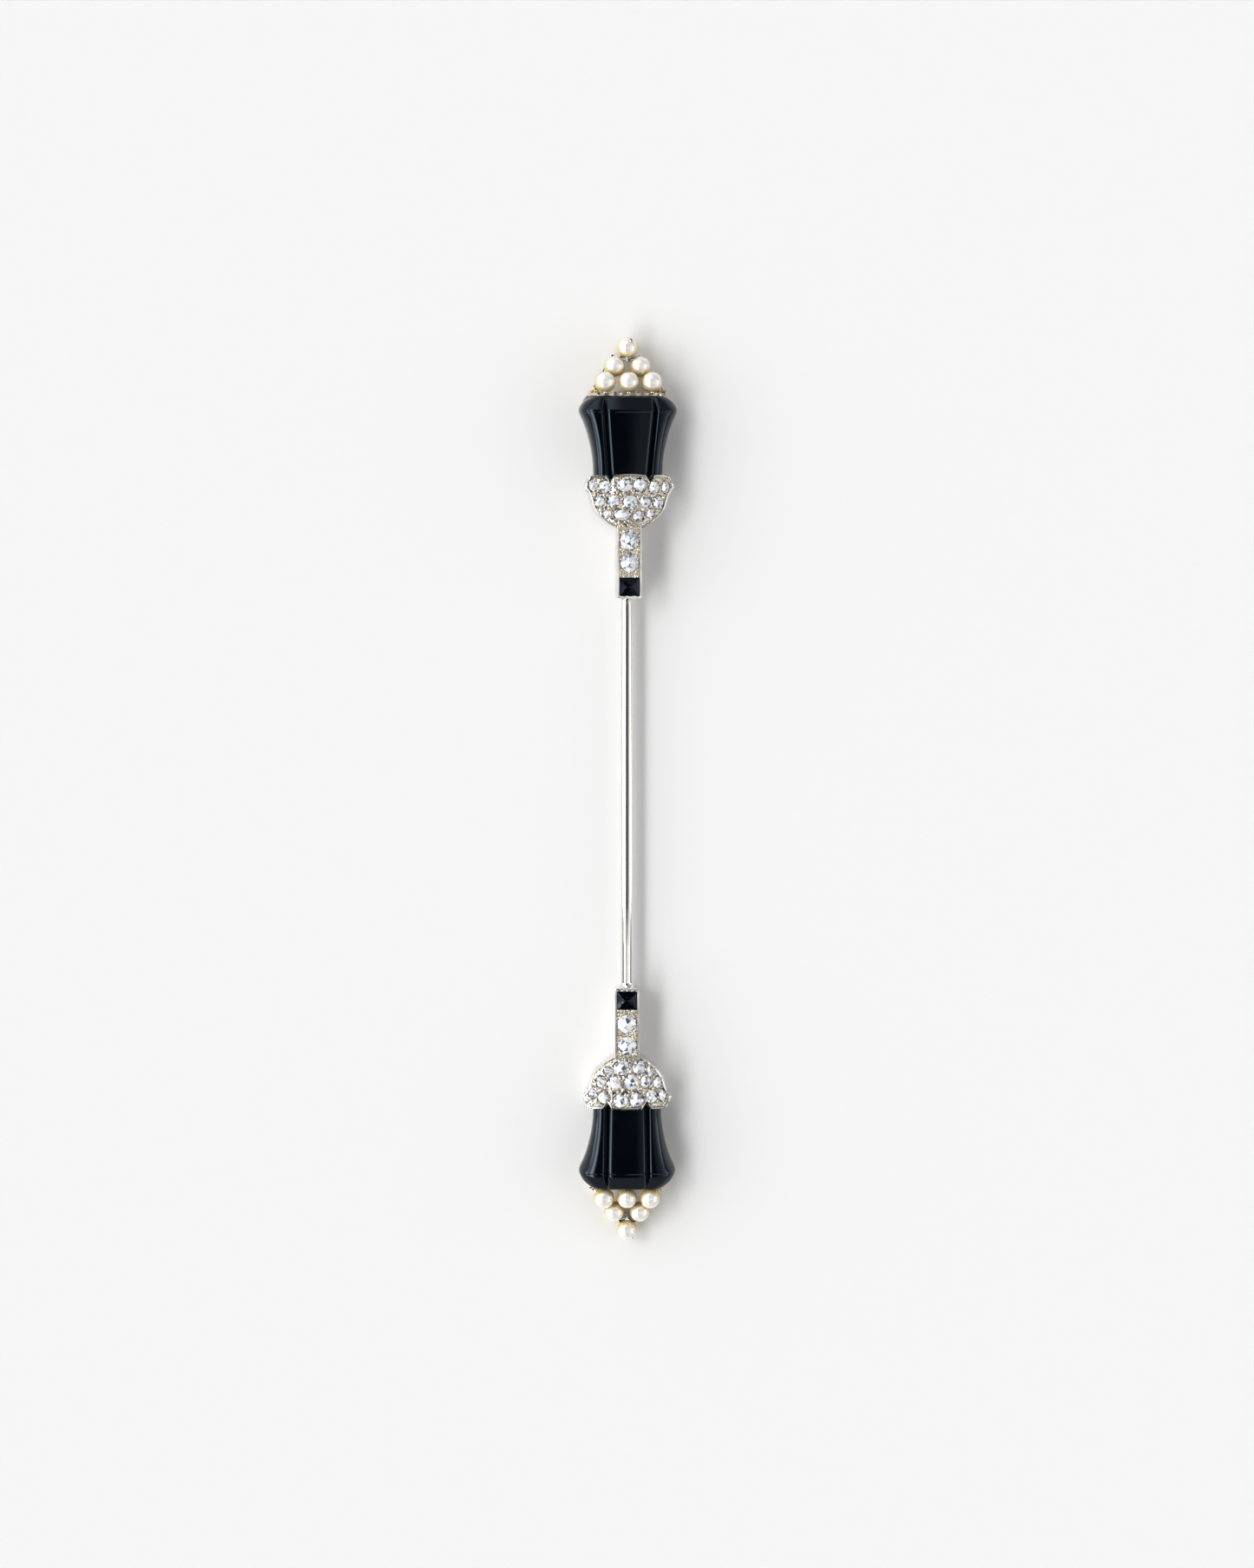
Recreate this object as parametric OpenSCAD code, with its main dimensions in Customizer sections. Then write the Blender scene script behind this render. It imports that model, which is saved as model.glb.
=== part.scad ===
// Jabot pin: two matching bell-shaped ends on one straight pin wire.
// One end is soldered to the wire, the other slips off the point of the wire.
// The pin lies on its back: +Z is the front, +Y runs towards the slip-on end, millimetres.

/* [Pin wire] */
// Free length of wire between the inner ends of the two bars
wire_free = 38.3; // [30:0.1:60]
// Diameter of the wire
wire_d = 1.2; // [1.0:0.02:1.3]
// Height of the wire's axis above the flat back
wire_z = 1.55; // [1.45:0.01:1.8]
// Length of wire that enters the slip-on end
wire_in = 8.3; // [5:0.1:8.6]
// Diameter of the slimmer length of wire that enters the slip-on end, past a shoulder
wire_in_d = 0.88; // [0.8:0.02:0.9]
// Length of the wire's sharpened point
wire_point = 1.6; // [0.8:0.1:3]
// Length of the flared solder collar at the fixed end
collar_len = 0.5; // [0.3:0.05:1]
// Width of the flare of the solder collar past the wire, each side
collar_flare = 0.4; // [0.05:0.01:0.45]

/* [Clutch] */
// Depth of the socket in the slip-on end
socket_depth = 9.0; // [8.8:0.1:9.6]
// Wall of the clutch sleeve in the socket
sleeve_wall = 0.31; // [0.28:0.01:0.33]
// Running clearance on the radius, inside and outside the sleeve
run_gap = 0.02; // [0.015:0.005:0.03]
// Turn of the slip-on end about the wire, as it lies
slip_turn = 6.5; // [0:0.5:8]

/* [Bar] */
// Length of the bar from its inner end to the neck of the calyx
bar_len = 6.8; // [6.2:0.05:7.5]
// Width of the bar
bar_w = 2.4; // [2.3:0.02:2.6]
// Depth of the bar from back to front
bar_h = 3.3; // [3.2:0.05:3.5]
// Chamfer along the bar's front edges
bar_edge = 0.14; // [0.05:0.01:0.18]
// Diameter of the round bar stones
bar_stone_d = 1.74; // [1.4:0.02:1.78]
// Height of the bar stones above their rim
bar_stone_h = 0.42; // [0.2:0.02:0.6]
// Width of the black square stone across the bar
square_w = 1.98; // [1.6:0.02:2]
// Length of the black square stone along the bar
square_l = 1.78; // [1.4:0.02:1.9]
// Height of the square stone's dome above its rim
square_h = 0.42; // [0.2:0.02:0.6]

/* [Calyx] */
// Length of the calyx from the neck to the rim of its petals
calyx_len = 5.1; // [4.9:0.05:5.2]
// Half of the greatest width across the petal tips
calyx_half = 4.36; // [4.25:0.01:4.5]
// Front height of the calyx at its rim
calyx_front = 3.98; // [3.9:0.01:4.1]
// Half distance between the two grooves of the calyx at its rim
calyx_groove = 1.94; // [1.8:0.01:2.1]
// Depth of the calyx grooves at the rim
calyx_groove_d = 0.3; // [0.1:0.01:0.35]
// Width of a notch between two petals
notch_w = 0.86; // [0.5:0.02:1]
// Depth of a notch between two petals
notch_d = 0.72; // [0.4:0.02:1]
// Diameter of an ordinary grain-set stone
pave_d = 1.28; // [1:0.02:1.3]
// Height of the small stones above the metal
pave_h = 0.26; // [0.12:0.02:0.3]

/* [Onyx bell] */
// Distance from the bar's inner end to the bell's ridge
ridge_at = 18.2; // [18:0.05:19]
// Length of the bevel past the ridge
bevel_len = 1.36; // [1.2:0.02:1.4]
// Depth of the bell's foot inside the calyx
foot_in = 1.5; // [1:0.05:1.6]
// Half width of the bell at the calyx rim
neck_half = 3.36; // [3.3:0.01:3.45]
// Half width of the bell at its ridge
ridge_half = 4.82; // [4.7:0.01:5]
// Front height of the bell at the calyx rim
neck_front = 3.44; // [3.35:0.01:3.5]
// Front height of the bell at its ridge
ridge_front = 4.38; // [4.2:0.01:4.6]
// How far the bevel drops at the front
bevel_drop = 0.88; // [0.6:0.01:1]
// How far the bevel comes in at each side
bevel_in = 1.25; // [0.8:0.01:1.3]
// Half distance between the grooves at the ridge, fixed end
groove_fixed = 2.05; // [1.9:0.01:2.5]
// Half distance between the grooves at the ridge, slip-on end
groove_slip = 2.45; // [1.9:0.01:2.5]
// Half width of a groove in the onyx
groove_w = 0.4; // [0.3:0.01:0.42]
// Depth of a groove in the onyx
groove_d = 0.5; // [0.2:0.01:0.55]

/* [Back] */
// Thickness of the back plate
plate_t = 0.45; // [0.35:0.01:0.5]
// Half width of the back plate beside the ridge
plate_half = 4.5; // [4.3:0.01:4.6]
// Clearance between the metal and a stone or pearl that sits in it
seat_gap = 0.04; // [0.03:0.005:0.05]

/* [Pearl end] */
// Diameter of a pearl
pearl_d = 2.0; // [1.8:0.02:2.02]
// Diameter of a pearl's peg
peg_d = 0.4; // [0.3:0.02:0.5]
// Thickness of the end wall that carries the inner pearls
wall_t = 0.28; // [0.2:0.01:0.3]
// Half width of the end wall
wall_half = 3.72; // [3.5:0.01:3.8]
// Half distance between the outer pearls of the row of three
three_half = 2.28; // [2.2:0.01:2.3]
// Height of the row of three above the back
three_z = 2.45; // [2.43:0.01:2.6]
// Half distance between the pearls of the row of two
two_half = 1.25; // [1.2:0.01:1.26]
// Height of the row of two above the back
two_z = 1.52; // [1.48:0.01:1.53]
// Distance from the row of three to the row of two
row_step = 1.52; // [1.52:0.01:1.6]
// Height of the tip pearl above the back
tip_z = 1.4; // [1.3:0.01:1.5]
// Distance from the row of two to the tip pearl
tip_step = 1.84; // [1.8:0.01:1.9]
// Width of the frame's two slanting rafters
rafter_w = 0.4; // [0.3:0.01:0.45]
// Slant of the chevron's arms
arm_slant = 26; // [24:1:28]
// Thickness of the chevron's arms
arm_t = 0.28; // [0.2:0.01:0.3]
// Length of each arm of the chevron
arm_len = 1.36; // [1.2:0.01:1.45]

/* [Hidden] */

metal = "#d8d5cf";
onyx = "#0d1218";
diamond = "#dfe7ef";
pearl_white = "#f2ebdd";

// Places along an end, measured outwards from the inner end of its bar
rim_at = bar_len + calyx_len;
end_at = ridge_at + bevel_len;
wall_in = end_at + seat_gap;
wall_out = wall_in + wall_t;
three_at = wall_out + seat_gap + pearl_d / 2;
two_at = three_at + row_step;
tip_at = two_at + tip_step;

// Free length of the bar between its stones, and how it is shared out: before the square stone,
// between it and the inner round stone, between the two round stones, and past the outer one
bar_free = bar_len - square_l - 2 * bar_stone_d;
bar_shares = [0.21, 0.34, 0.27, 0.18];
square_at = bar_shares[0] * bar_free + square_l / 2;
bar_stone_outer = bar_len - bar_shares[3] * bar_free - bar_stone_d / 2;
bar_stone_inner = bar_stone_outer - bar_shares[2] * bar_free - bar_stone_d;

// The socket sits so that the turned slip-on end still rests on the surface
socket_z = (wire_z - plate_half * sin(slip_turn)) / cos(slip_turn);
sleeve_in_d = wire_in_d + 2 * run_gap;
sleeve_out_d = sleeve_in_d + 2 * sleeve_wall;
socket_d = sleeve_out_d + 2 * run_gap;

// Small shared sizes
bell_back = plate_t + seat_gap;
bell_wide = 1.3;
// The calyx has upright side walls up to this share of its front height
calyx_wide = 0.8;
crown_drop = 0.24;
stone_back = 0.3;
stone_sink = 0.05;
foot_taper = 0.16;
seat_depth = stone_sink + stone_back + seat_gap;
// How far a cutter runs past a face, and how far joined metal runs into its neighbour
cut = 0.5;
lap = 0.05;
smooth_sides = 48;

// Flare of the onyx bell: share of the way from the rim to the ridge, share of the widening
bell_flare = [[0, 0], [0.2, 0.04], [0.38, 0.14], [0.55, 0.3],
              [0.7, 0.48], [0.83, 0.69], [0.94, 0.92], [1, 1]];

// Bowl of the calyx: share of its length, share of its half width, share of its front height
bowl = [[0, 0.3, 0.81], [0.04, 0.39, 0.85], [0.1, 0.495, 0.875], [0.17, 0.6, 0.89], [0.25, 0.705, 0.9],
        [0.34, 0.79, 0.91], [0.44, 0.832, 0.92], [0.56, 0.866, 0.93], [0.68, 0.912, 0.945],
        [0.78, 0.965, 0.965], [0.86, 1, 0.985], [1, 0.925, 1]];

// Grain-set stones: share of the calyx half width across, share of the calyx length, share of the stone size
stone_rows = [
    [0.186, 0.8, 1.05], [0.572, 0.77, 0.98], [0.8, 0.775, 0.82],
    [0, 0.49, 1.14], [0.36, 0.48, 0.98], [0.66, 0.49, 0.94],
    [0.19, 0.225, 1.06], [0.5, 0.235, 0.92]];

function mirrored(points) = [for (p = points) [-p[0], p[1]]];
function reversed(points) = [for (i = [len(points) - 1:-1:0]) points[i]];
function column(table, c) = [for (row = table) [row[0], row[c]]];

// Point of a quadratic curve through its ends a and c, pulled towards b
function curve(a, b, c, t) = a * (1 - t) * (1 - t) + b * 2 * t * (1 - t) + c * t * t;

// Right half of a three-lobed section, from the middle of the front down to the back.
// w: half width, h: front height, g: groove place, gw: its half width, gd: its depth, back: back plane,
// wide: height at which the section is widest
function half_section(w, h, g, gw, gd, back, wide) =
    let (lobe = h - crown_drop,
         shoulder = [g, lobe],
         side = [g + 0.72 * (w - g), lobe - 0.22 * (lobe - wide)],
         edge = [w, wide],
         step = gw / (2 * norm(side - shoulder)))
    concat(
        [for (u = [0, 0.3, 0.58]) [u * g, h - crown_drop * u * u]],
        [[g - gw, h - crown_drop * pow((g - gw) / g, 2)],
         [g - 0.72 * gw, lobe - 0.12 * gd],
         [g - 0.34 * gw, lobe - 0.72 * gd],
         [g, lobe - gd],
         curve(shoulder, side, edge, 0.34 * step) - [0, 0.72 * gd],
         curve(shoulder, side, edge, 0.72 * step) - [0, 0.12 * gd],
         curve(shoulder, side, edge, step)],
        [for (t = [0.34, 0.5, 0.66, 0.8, 0.92]) curve(shoulder, side, edge, t)],
        [edge, [0.985 * w, back + 0.4 * (wide - back)], [0.9 * w, back]]);

// Whole section at a place y along the end, as points in space
function section(y, w, h, g, gw, gd, back, wide) =
    let (half = half_section(w, h, g, gw, gd, back, wide),
         rest = [for (i = [1:len(half) - 1]) half[i]])
    [for (p = concat(reversed(mirrored(rest)), half)) [p[0], y, p[1]]];

function middle(ring) = [for (i = [0:2]) (min([for (p = ring) p[i]]) + max([for (p = ring) p[i]])) / 2];

// Closed solid through rings that have the same number of points; turned rings give triangular facets
module loft(rings, turned = false) {
    n = len(rings[0]);
    last = len(rings) - 1;
    points = concat([for (ring = rings) each ring], [middle(rings[0]), middle(rings[last])]);
    foot = len(points) - 2;
    sides = [for (k = [0:last - 1], i = [0:n - 1])
        each let (a = k * n + i, b = k * n + (i + 1) % n)
        turned ? [[a, a + n, b], [b, a + n, b + n]] : [[a, a + n, b + n], [a, b + n, b]]];
    foot_cap = [for (i = [0:n - 1]) [foot, i, (i + 1) % n]];
    head_cap = [for (i = [0:n - 1]) [foot + 1, last * n + (i + 1) % n, last * n + i]];
    polyhedron(points, concat(sides, foot_cap, head_cap), convexity = 8);
}

// Outline in X and Z, extruded from y0 to y1
module along(y0, y1) {
    translate([0, y1, 0]) rotate([90, 0, 0]) linear_extrude(y1 - y0) children();
}

// Round rod or hole along Y, from y0 to y1, at height z
module rod(y0, y1, z, d) {
    translate([0, y0, z]) rotate([-90, 0, 0]) cylinder(h = y1 - y0, d = d, $fn = smooth_sides);
}

// Fixed end: the shared end turned to point away from the slip-on end
module at_fixed() {
    translate([0, -wire_free / 2, 0]) rotate([0, 0, 180]) children();
}

// Slip-on end: turned a little about the wire, resting on one edge of its back
module at_slip() {
    translate([0, wire_free / 2, wire_z]) rotate([0, slip_turn, 0]) translate([0, 0, -socket_z]) children();
}

// Onyx bell

// Rings of the bell, grown by an all-round gap; g is the groove place at the ridge
function bell_ring(share, g, gap) =
    let (flare = lookup(share, bell_flare),
         y = rim_at + share * (ridge_at - rim_at),
         w = neck_half + flare * (ridge_half - neck_half),
         h = neck_front + flare * (ridge_front - neck_front),
         place = calyx_groove + share * (g - calyx_groove))
    section(y, w + gap, h + gap, place, groove_w - gap / 2, groove_d, bell_back - gap, bell_wide);

function foot_ring(y, gap) =
    section(y, neck_half - foot_taper + gap, neck_front - foot_taper + gap, calyx_groove, groove_w - gap / 2,
            groove_d, bell_back - gap, bell_wide);

// The bevel is straight at the front and rounds off at the sides
function bevel_ring(share, g) =
    section(ridge_at + share * bevel_len, ridge_half - (0.35 * share + 0.65 * pow(share, 3)) * bevel_in,
            ridge_front - share * bevel_drop, g * (1 - 0.05 * share), groove_w * (1 - 0.25 * share),
            groove_d * (1 - 0.55 * share), bell_back, bell_wide);

module bell(g) {
    loft(concat(
        [foot_ring(rim_at - foot_in, 0)],
        [for (share = [0, 0.12, 0.25, 0.38, 0.5, 0.62, 0.73, 0.83, 0.91, 0.97, 1]) bell_ring(share, g, 0)],
        [for (share = [0.12, 0.35, 0.55, 0.72, 0.86, 1]) bevel_ring(share, g)]));
}

// Hollow of the calyx that holds the foot of the bell
module bell_hollow(g) {
    loft([foot_ring(rim_at - foot_in - seat_gap, seat_gap), bell_ring(0, g, seat_gap),
          bell_ring(0.1, g, seat_gap)]);
}

// Cut stones

// Rose-cut stone on its flat back: girdle at z = 0, a small eight-sided table on top
module rose_stone(d, h) {
    sides = 8;
    // Radius as a share of the girdle, height, turn in half facets
    rows = [[0.86, -stone_back, 0], [1, 0, 0], [0.76, 0.62 * h, 1], [0.36, h, 2]];
    loft([for (row = rows) [for (i = [0:sides - 1])
        let (a = (i + row[2] / 2) * 360 / sides)
        [row[0] * d / 2 * cos(a), row[0] * d / 2 * sin(a), row[1]]]], turned = true);
}

// Buff-top square stone, domed in steps over a straight girdle
module square_stone() {
    // Share of the width and length, height
    rows = [[0.94, -stone_back], [1, 0], [0.86, 0.55 * square_h], [0.6, 0.88 * square_h], [0.26, square_h]];
    color(onyx) translate([0, square_at, bar_h - stone_sink])
    loft([for (row = rows) [for (c = [[1, -1], [1, 0], [1, 1], [0, 1], [-1, 1], [-1, 0], [-1, -1], [0, -1]])
        [row[0] * c[0] * square_w / 2, row[0] * c[1] * square_l / 2, row[1]]]]);
}

module bar_stone(y) {
    color(diamond) translate([0, y, bar_h - stone_sink]) rose_stone(bar_stone_d, bar_stone_h);
}

// Calyx

// The grooves start near the neck and reach their full depth before the rim
function groove_growth(share) = max(0, min(1, (share - 0.05) / 0.55));
function calyx_w(share) = calyx_half * lookup(share, column(bowl, 1));
function calyx_h(share) = calyx_front * lookup(share, column(bowl, 2));
function calyx_g(share) = min(calyx_groove, 0.52 * calyx_w(share));
function calyx_gw(share) = 0.3 * min(0.5 * calyx_groove, calyx_g(share));

function calyx_ring(share) =
    section(bar_len + share * calyx_len, calyx_w(share), calyx_h(share), calyx_g(share), calyx_gw(share),
            calyx_groove_d * groove_growth(share), 0, calyx_wide * calyx_h(share));

// Height of the calyx's front at x, without its grooves
function calyx_height(x, y) =
    let (share = (y - bar_len) / calyx_len)
    lookup(abs(x), half_section(calyx_w(share), calyx_h(share), calyx_g(share), calyx_gw(share), 0, 0,
                                calyx_wide * calyx_h(share)));

// Places its children on the calyx's front, facing out of it
module on_calyx(x, y) {
    probe = 0.2 * pave_d;
    slope_x = (calyx_height(x + probe, y) - calyx_height(x - probe, y)) / (2 * probe);
    slope_y = (calyx_height(x, y + probe) - calyx_height(x, y - probe)) / (2 * probe);
    lean = atan(norm([slope_x, slope_y]));
    translate([x, y, calyx_height(x, y)])
    rotate([0, lean, atan2(-slope_y, -slope_x)])
    children();
}

// Sides on which a row of the stone table stands: both, or the middle alone
function stone_sides(row) = row[0] == 0 ? [1] : [-1, 1];

module small_stones() {
    color(diamond)
    for (row = stone_rows, side = stone_sides(row))
        on_calyx(side * row[0] * calyx_half, bar_len + row[1] * calyx_len)
        translate([0, 0, -stone_sink]) rose_stone(row[2] * pave_d, pave_h);
}

module small_seats() {
    for (row = stone_rows, side = stone_sides(row))
        on_calyx(side * row[0] * calyx_half, bar_len + row[1] * calyx_len)
        translate([0, 0, -seat_depth])
        cylinder(h = seat_depth + cut, d = row[2] * pave_d + 2 * seat_gap, $fn = smooth_sides);
}

module petal_notches() {
    for (side = [-1, 1])
        translate([side * calyx_groove, rim_at, bell_wide])
        linear_extrude(calyx_front)
        polygon([[-notch_w / 2, 2 * lap], [0, -notch_d], [notch_w / 2, 2 * lap]]);
}

module calyx(g) {
    difference() {
        loft([for (row = bowl) calyx_ring(row[0])]);
        bell_hollow(g);
        petal_notches();
        small_seats();
    }
}

// Bar

// The bar narrows towards its back
module bar_outline() {
    half = bar_w / 2;
    back_half = 0.62 * half;
    taper_z = 0.36 * bar_h;
    right = [[back_half, 0], [half, taper_z], [half, bar_h - bar_edge], [half - bar_edge, bar_h]];
    polygon(concat(right, reversed(mirrored(right))));
}

module bar() {
    floor_z = bar_h - seat_depth;
    difference() {
        along(0, bar_len + 6 * lap) bar_outline();
        for (y = [bar_stone_inner, bar_stone_outer])
            translate([0, y, floor_z])
            cylinder(h = seat_depth + cut, d = bar_stone_d + 2 * seat_gap, $fn = smooth_sides);
        translate([-square_w / 2 - seat_gap, square_at - square_l / 2 - seat_gap, floor_z])
            cube([square_w + 2 * seat_gap, square_l + 2 * seat_gap, seat_depth + cut]);
    }
}

// Back plate, end wall and pearl frame

module back_plate() {
    bell_len = ridge_at - rim_at;
    // Place along the end, half width
    side = [[bar_len, 0.3 * bar_w], [bar_len + 0.3 * calyx_len, 0.6 * calyx_half],
            [rim_at - 0.1 * calyx_len, 0.78 * calyx_half], [rim_at + 0.1 * bell_len, 0.9 * neck_half],
            [rim_at + 0.5 * bell_len, 0.96 * neck_half], [rim_at + 0.97 * bell_len, plate_half],
            [ridge_at + 0.5 * bevel_len, plate_half], [wall_out, wall_half]];
    linear_extrude(plate_t)
    polygon(concat([for (p = side) [p[1], p[0]]], reversed([for (p = side) [-p[1], p[0]]])));
}

// The wall stands a little above its pegs, with its upper corners cut off
module end_wall() {
    top = three_z + 0.7 * peg_d;
    corner = 0.45 * top;
    along(wall_in, wall_out)
    polygon([[-wall_half, 0], [wall_half, 0], [wall_half, top - corner], [wall_half - 0.5 * corner, top],
             [-wall_half + 0.5 * corner, top], [-wall_half, top - corner]]);
}

// Middle of the chevron's point: its arms just clear the tip pearl
function chevron_at() = tip_at - (pearl_d / 2 + seat_gap + arm_t / 2) / cos(arm_slant);

function arm_end() = [arm_len * cos(arm_slant), chevron_at() + arm_len * sin(arm_slant)];

// Rafter from the end wall to the chevron's arm, a little thinner than the plate that it grows from
module rafter(side) {
    foot = [wall_half - rafter_w / 2, wall_in];
    head = arm_end();
    run = head - foot;
    translate([side * foot[0], foot[1], 0])
    rotate([0, 0, side * atan2(-run[0], run[1])])
    translate([-rafter_w / 2, 0, 0])
    cube([rafter_w, norm(run), 0.93 * plate_t]);
}

// Small triangular gusset where a rafter meets the end wall
module gusset(side) {
    reach = 1.8 * rafter_w;
    linear_extrude(three_z - pearl_d / 2)
    polygon([[side * wall_half, wall_out - lap], [side * (wall_half - reach), wall_out - lap],
             [side * (wall_half - 0.6 * reach), wall_out + 0.85 * reach]]);
}

// The chevron's arms reach half way up the tip pearl's upper half, and are scooped where pearls nest in them
module chevron() {
    top = tip_z + 0.275 * pearl_d;
    difference() {
        for (side = [-1, 1])
            translate([0, chevron_at(), 0])
            rotate([0, 0, side > 0 ? arm_slant : 180 - arm_slant])
            translate([0, -arm_t / 2, 0])
            cube([arm_len, arm_t, top]);
        for (place = [[-two_half, two_at, two_z], [two_half, two_at, two_z], [0, tip_at, tip_z]])
            translate(place) sphere(d = pearl_d + 2 * seat_gap, $fn = smooth_sides);
    }
}

// Pegs

// A blind peg passes the pearl's near face by this share of its diameter, so it ends past the middle
peg_reach = 0.6;
past_middle = (peg_reach - 0.5) * pearl_d;

// Peg from a seat to a point along a direction in the plane of the back
module peg(from, angle, length, z) {
    translate([from[0], from[1], z]) rotate([0, 0, angle]) rotate([0, 90, 0])
        cylinder(h = length, d = peg_d, $fn = smooth_sides);
}

module pearl_pegs() {
    for (x = [-three_half, 0, three_half])
        peg([x, wall_out - wall_t / 2], 90, wall_t / 2 + seat_gap + peg_reach * pearl_d, three_z);
    for (side = [-1, 1])
        peg(second_seat(side), second_angle(side), second_reach() + past_middle, two_z);
    peg([0, chevron_at()], 90, tip_at + pearl_d / 2 - chevron_at(), tip_z);
}

// The pegs of the row of two spring from the middle of the chevron's arms
function second_seat(side) =
    [side * 0.5 * arm_len * cos(arm_slant), chevron_at() + 0.5 * arm_len * sin(arm_slant)];
function second_run(side) = [side * two_half, two_at] - second_seat(side);
function second_angle(side) = atan2(second_run(side)[1], second_run(side)[0]);
function second_reach() = norm(second_run(1));

// Metal of one end, without the wire or the socket
module end_metal(g) {
    bar();
    calyx(g);
    back_plate();
    end_wall();
    for (side = [-1, 1]) {
        rafter(side);
        gusset(side);
    }
    chevron();
    pearl_pegs();
}

// Pearls

module drilled_pearl(x, y, z, angle, from, to) {
    color(pearl_white) translate([x, y, z])
    difference() {
        sphere(d = pearl_d, $fn = smooth_sides);
        rotate([0, 0, angle]) rotate([0, 90, 0]) translate([0, 0, from])
            cylinder(h = to - from, d = peg_d + 2 * seat_gap, $fn = smooth_sides);
    }
}

// One of the three pearls that the end wall carries, drilled from behind
module pearl_of_three(x) {
    drilled_pearl(x, three_at, three_z, 90, -pearl_d, past_middle + 2 * seat_gap);
}

// One of the two pearls that the chevron carries, drilled from the tip side
module pearl_of_two(side) {
    drilled_pearl(side * two_half, two_at, two_z, second_angle(side) + 180,
                  -past_middle - 2 * seat_gap, pearl_d);
}

// Pearl at the tip, drilled right through
module tip_pearl() {
    drilled_pearl(0, tip_at, tip_z, 90, -pearl_d, pearl_d);
}

// Whole metal parts

module pin_wire() {
    start = -wire_free / 2 - bar_len / 3;
    step = wire_free / 2 - 2 * seat_gap;
    shoulder = wire_free / 2 + wire_in - wire_point;
    rod(start, step, wire_z, wire_d);
    rod(step - cut, shoulder, wire_z, wire_in_d);
    translate([0, shoulder, wire_z]) rotate([-90, 0, 0])
        cylinder(h = wire_point, d1 = wire_in_d, d2 = wire_in_d / 6, $fn = smooth_sides);
    translate([0, -wire_free / 2 - lap, wire_z]) rotate([-90, 0, 0])
        cylinder(h = collar_len + lap, d1 = wire_d + 2 * collar_flare, d2 = wire_d, $fn = smooth_sides);
}

module pin_mount() {
    color(metal) {
        at_fixed() end_metal(groove_fixed);
        pin_wire();
    }
}

module slip_mount() {
    color(metal) at_slip() difference() {
        end_metal(groove_slip);
        rod(-cut, socket_depth, socket_z, socket_d);
    }
}

module clutch_sleeve() {
    color(metal) at_slip() difference() {
        rod(2 * seat_gap, socket_depth - seat_gap, socket_z, sleeve_out_d);
        rod(-cut, socket_depth + cut, socket_z, sleeve_in_d);
    }
}

module onyx_bell(g) {
    color(onyx) bell(g);
}

pin_mount();
slip_mount();
clutch_sleeve();
at_fixed() onyx_bell(groove_fixed);  // pin_onyx_bell
at_slip() onyx_bell(groove_slip);  // slip_onyx_bell
at_fixed() square_stone();  // pin_square_stone
at_slip() square_stone();  // slip_square_stone
at_fixed() bar_stone(bar_stone_inner);  // pin_bar_stone_inner
at_fixed() bar_stone(bar_stone_outer);  // pin_bar_stone_outer
at_slip() bar_stone(bar_stone_inner);  // slip_bar_stone_inner
at_slip() bar_stone(bar_stone_outer);  // slip_bar_stone_outer
at_fixed() small_stones();  // pin_grain_set_stones
at_slip() small_stones();  // slip_grain_set_stones
at_fixed() pearl_of_three(-three_half);  // pin_pearl_left
at_fixed() pearl_of_three(0);  // pin_pearl_middle
at_fixed() pearl_of_three(three_half);  // pin_pearl_right
at_fixed() pearl_of_two(-1);  // pin_pearl_second_left
at_fixed() pearl_of_two(1);  // pin_pearl_second_right
at_fixed() tip_pearl();  // pin_pearl_tip
at_slip() pearl_of_three(-three_half);  // slip_pearl_left
at_slip() pearl_of_three(0);  // slip_pearl_middle
at_slip() pearl_of_three(three_half);  // slip_pearl_right
at_slip() pearl_of_two(-1);  // slip_pearl_second_left
at_slip() pearl_of_two(1);  // slip_pearl_second_right
at_slip() tip_pearl();  // slip_pearl_tip
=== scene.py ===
"""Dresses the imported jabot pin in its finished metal, onyx, rose-cut stones and pearls.

Each end is modelled in millimetres in its own frame: Y runs outwards from the inner end of the bar,
X across it and Z out of the flat back. The finished mesh is then placed in the shared frame, in metres.
"""

import logging
import math
import random
from contextlib import contextmanager
from dataclasses import dataclass, field
from enum import Enum
from typing import Callable, Iterator

import bmesh
import bpy
from mathutils import Euler, Matrix, Vector, noise


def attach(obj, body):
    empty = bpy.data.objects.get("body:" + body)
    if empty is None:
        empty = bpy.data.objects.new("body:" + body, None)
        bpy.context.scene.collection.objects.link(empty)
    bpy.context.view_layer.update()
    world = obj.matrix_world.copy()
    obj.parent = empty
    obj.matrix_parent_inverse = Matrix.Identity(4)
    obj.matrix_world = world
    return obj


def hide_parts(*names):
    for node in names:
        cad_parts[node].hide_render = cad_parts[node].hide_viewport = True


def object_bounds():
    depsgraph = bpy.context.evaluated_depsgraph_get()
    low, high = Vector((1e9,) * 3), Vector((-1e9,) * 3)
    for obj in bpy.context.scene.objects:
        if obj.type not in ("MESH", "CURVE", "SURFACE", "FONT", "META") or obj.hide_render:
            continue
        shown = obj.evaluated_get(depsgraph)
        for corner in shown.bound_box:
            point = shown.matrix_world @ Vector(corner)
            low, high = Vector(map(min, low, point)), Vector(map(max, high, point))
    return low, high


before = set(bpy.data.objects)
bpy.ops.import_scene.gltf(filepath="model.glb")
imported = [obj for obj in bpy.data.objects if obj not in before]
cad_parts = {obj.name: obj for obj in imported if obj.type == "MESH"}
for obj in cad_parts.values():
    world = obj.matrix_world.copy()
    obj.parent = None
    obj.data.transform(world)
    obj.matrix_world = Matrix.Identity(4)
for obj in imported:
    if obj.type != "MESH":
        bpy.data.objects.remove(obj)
cad_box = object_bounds()

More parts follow.
